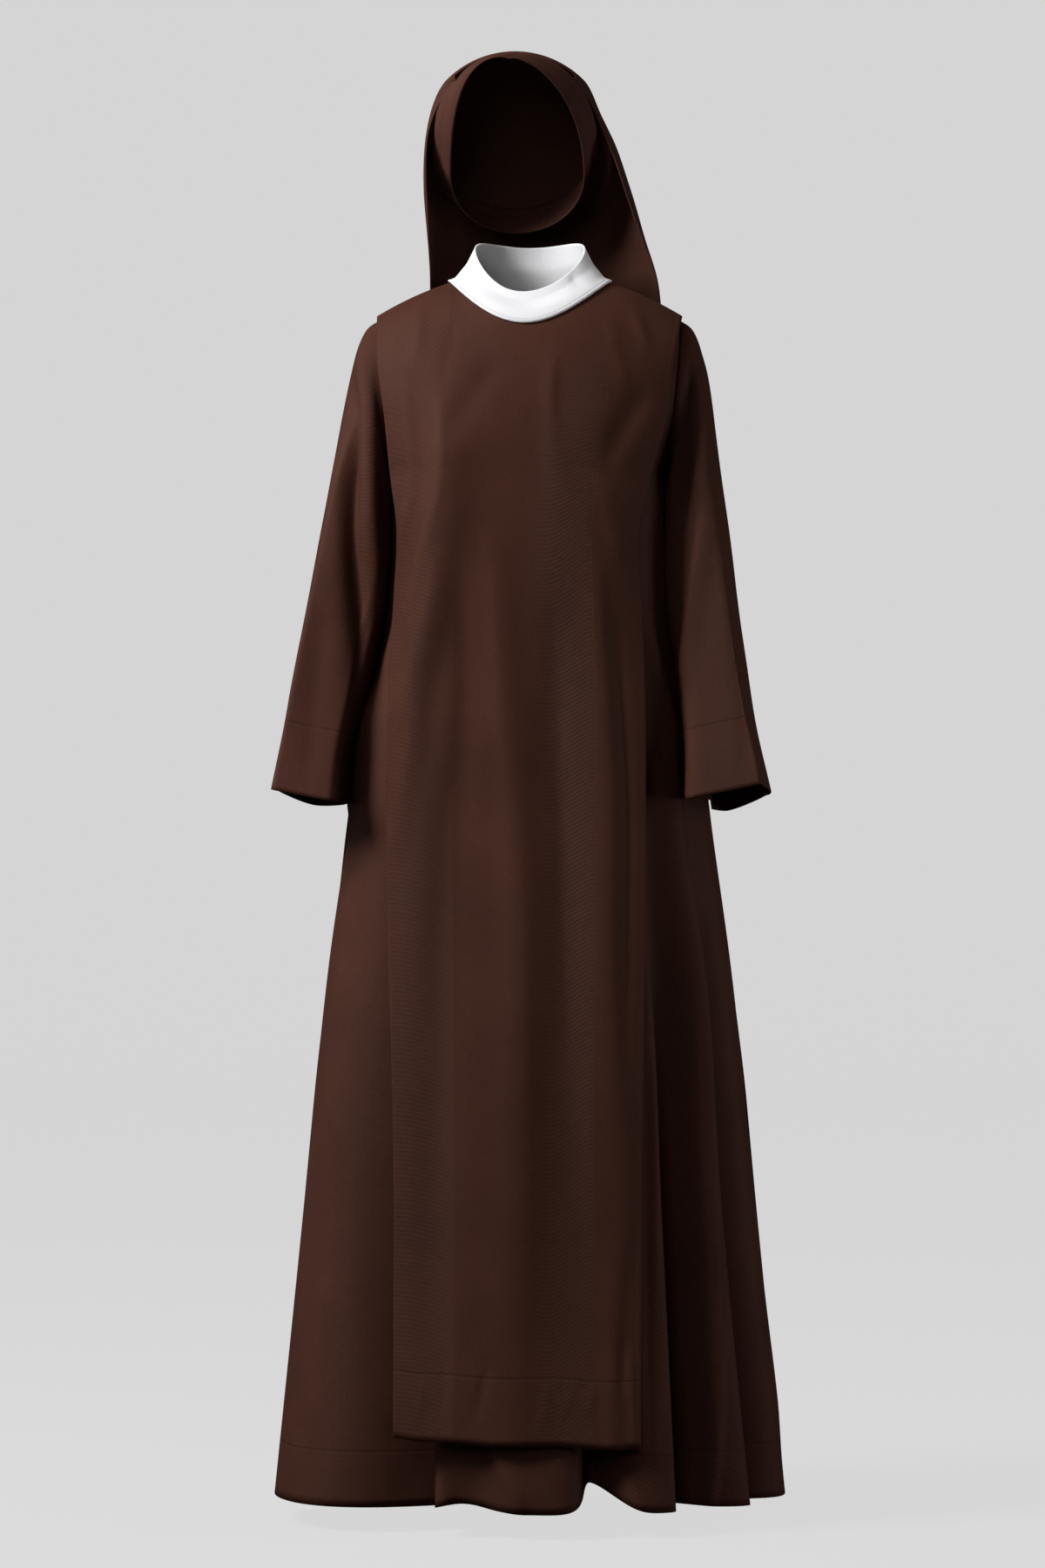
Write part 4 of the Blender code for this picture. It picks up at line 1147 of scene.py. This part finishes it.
def stage():
    """Pale round stage: a flat floor that curves up into a wall on all sides."""
    around = np.linspace(0.0, 2.0 * np.pi, 97)
    rise = np.linspace(0.0, np.pi / 2.0, 16)
    radius = np.concatenate([[0.0], 9.0 + 2.0 * np.sin(rise), [11.0]])
    height = np.concatenate([[0.0], 2.0 - 2.0 * np.cos(rise), [12.0]]) + FLOOR_Z
    grid = np.zeros((len(radius), len(around), 3))
    grid[..., 0] = radius[:, None] * np.cos(around)
    grid[..., 1] = radius[:, None] * np.sin(around)
    grid[..., 2] = height[:, None]
    mesh = bpy.data.meshes.new("sweep")
    mesh.from_pydata(grid.reshape(-1, 3).tolist(), [], quads(*grid.shape[:2], False).tolist())
    mesh.shade_smooth()
    paper = bpy.data.materials.new("pale_paper")
    paper.use_nodes = True
    shader = paper.node_tree.nodes["Principled BSDF"]
    shader.inputs["Base Color"].default_value = (0.06, 0.06, 0.06, 1.0)
    shader.inputs["Roughness"].default_value = 1.0
    shader.inputs["Specular IOR Level"].default_value = 0.0
    shader.inputs["Emission Color"].default_value = (1.0, 1.0, 1.0, 1.0)
    shader.inputs["Emission Strength"].default_value = 0.66
    mesh.materials.append(paper)
    sweep = bpy.data.objects.new("sweep", mesh)
    bpy.context.scene.collection.objects.link(sweep)
    # The sweep's own glow is for the picture and doesn't light the cloth
    sweep.visible_diffuse = False
    sweep.visible_glossy = False
    sweep.visible_shadow = False


def lamp(name, place, target, size, power, colour=(1.0, 1.0, 1.0)):
    """Square soft light that looks at a place."""
    data = bpy.data.lights.new(name, "AREA")
    data.shape = "RECTANGLE"
    data.size, data.size_y = size
    data.energy = power
    data.color = colour
    light = bpy.data.objects.new(name, data)
    bpy.context.scene.collection.objects.link(light)
    light.location = place
    way = np.array(target) - np.array(place)
    flat = np.hypot(way[0], way[1])
    light.rotation_euler = (np.arctan2(flat, -way[2]), 0.0, np.arctan2(-way[0], way[1]))


def lights():
    """Soft key from the upper left, weak light from the front and sides, even light all round."""
    lamp("key", (-2.35, -1.30, 1.60), (0.0, 0.0, -0.45), (0.9, 1.4), 136.0)
    lamp("front", (-0.9, -4.2, 1.2), (0.0, 0.0, -0.45), (1.6, 2.0), 19.0)
    lamp("side_left", (-2.9, 0.9, 0.3), (0.0, 0.0, -0.5), (1.0, 2.4), 12.0)
    lamp("side_right", (3.2, -0.5, -0.35), (0.0, 0.0, -0.75), (1.0, 1.8), 26.0)
    lamp("head", (-0.60, -0.60, 0.95), (-0.02, 0.0, 0.24), (0.4, 0.4), 2.2)
    world = bpy.data.worlds.new("studio_air")
    world.use_nodes = True
    background = world.node_tree.nodes["Background"]
    background.inputs["Color"].default_value = (1.0, 1.0, 1.0, 1.0)
    background.inputs["Strength"].default_value = 0.024
    bpy.context.scene.world = world


def camera():
    """Level camera at the height of the middle of the garment."""
    data = bpy.data.cameras.new("eye")
    data.sensor_width = 36.0
    data.lens = data.sensor_width * EYE_AWAY / FRAME_HEIGHT
    data.clip_end = 60.0
    eye = bpy.data.objects.new("eye", data)
    bpy.context.scene.collection.objects.link(eye)
    eye.location = (EYE_X, -EYE_AWAY, EYE_Z)
    eye.rotation_euler = (np.pi / 2.0, 0.0, 0.0)
    bpy.context.scene.camera = eye


bpy.context.scene.view_settings.view_transform = "Standard"
camera()
dress()
stage()
lights()
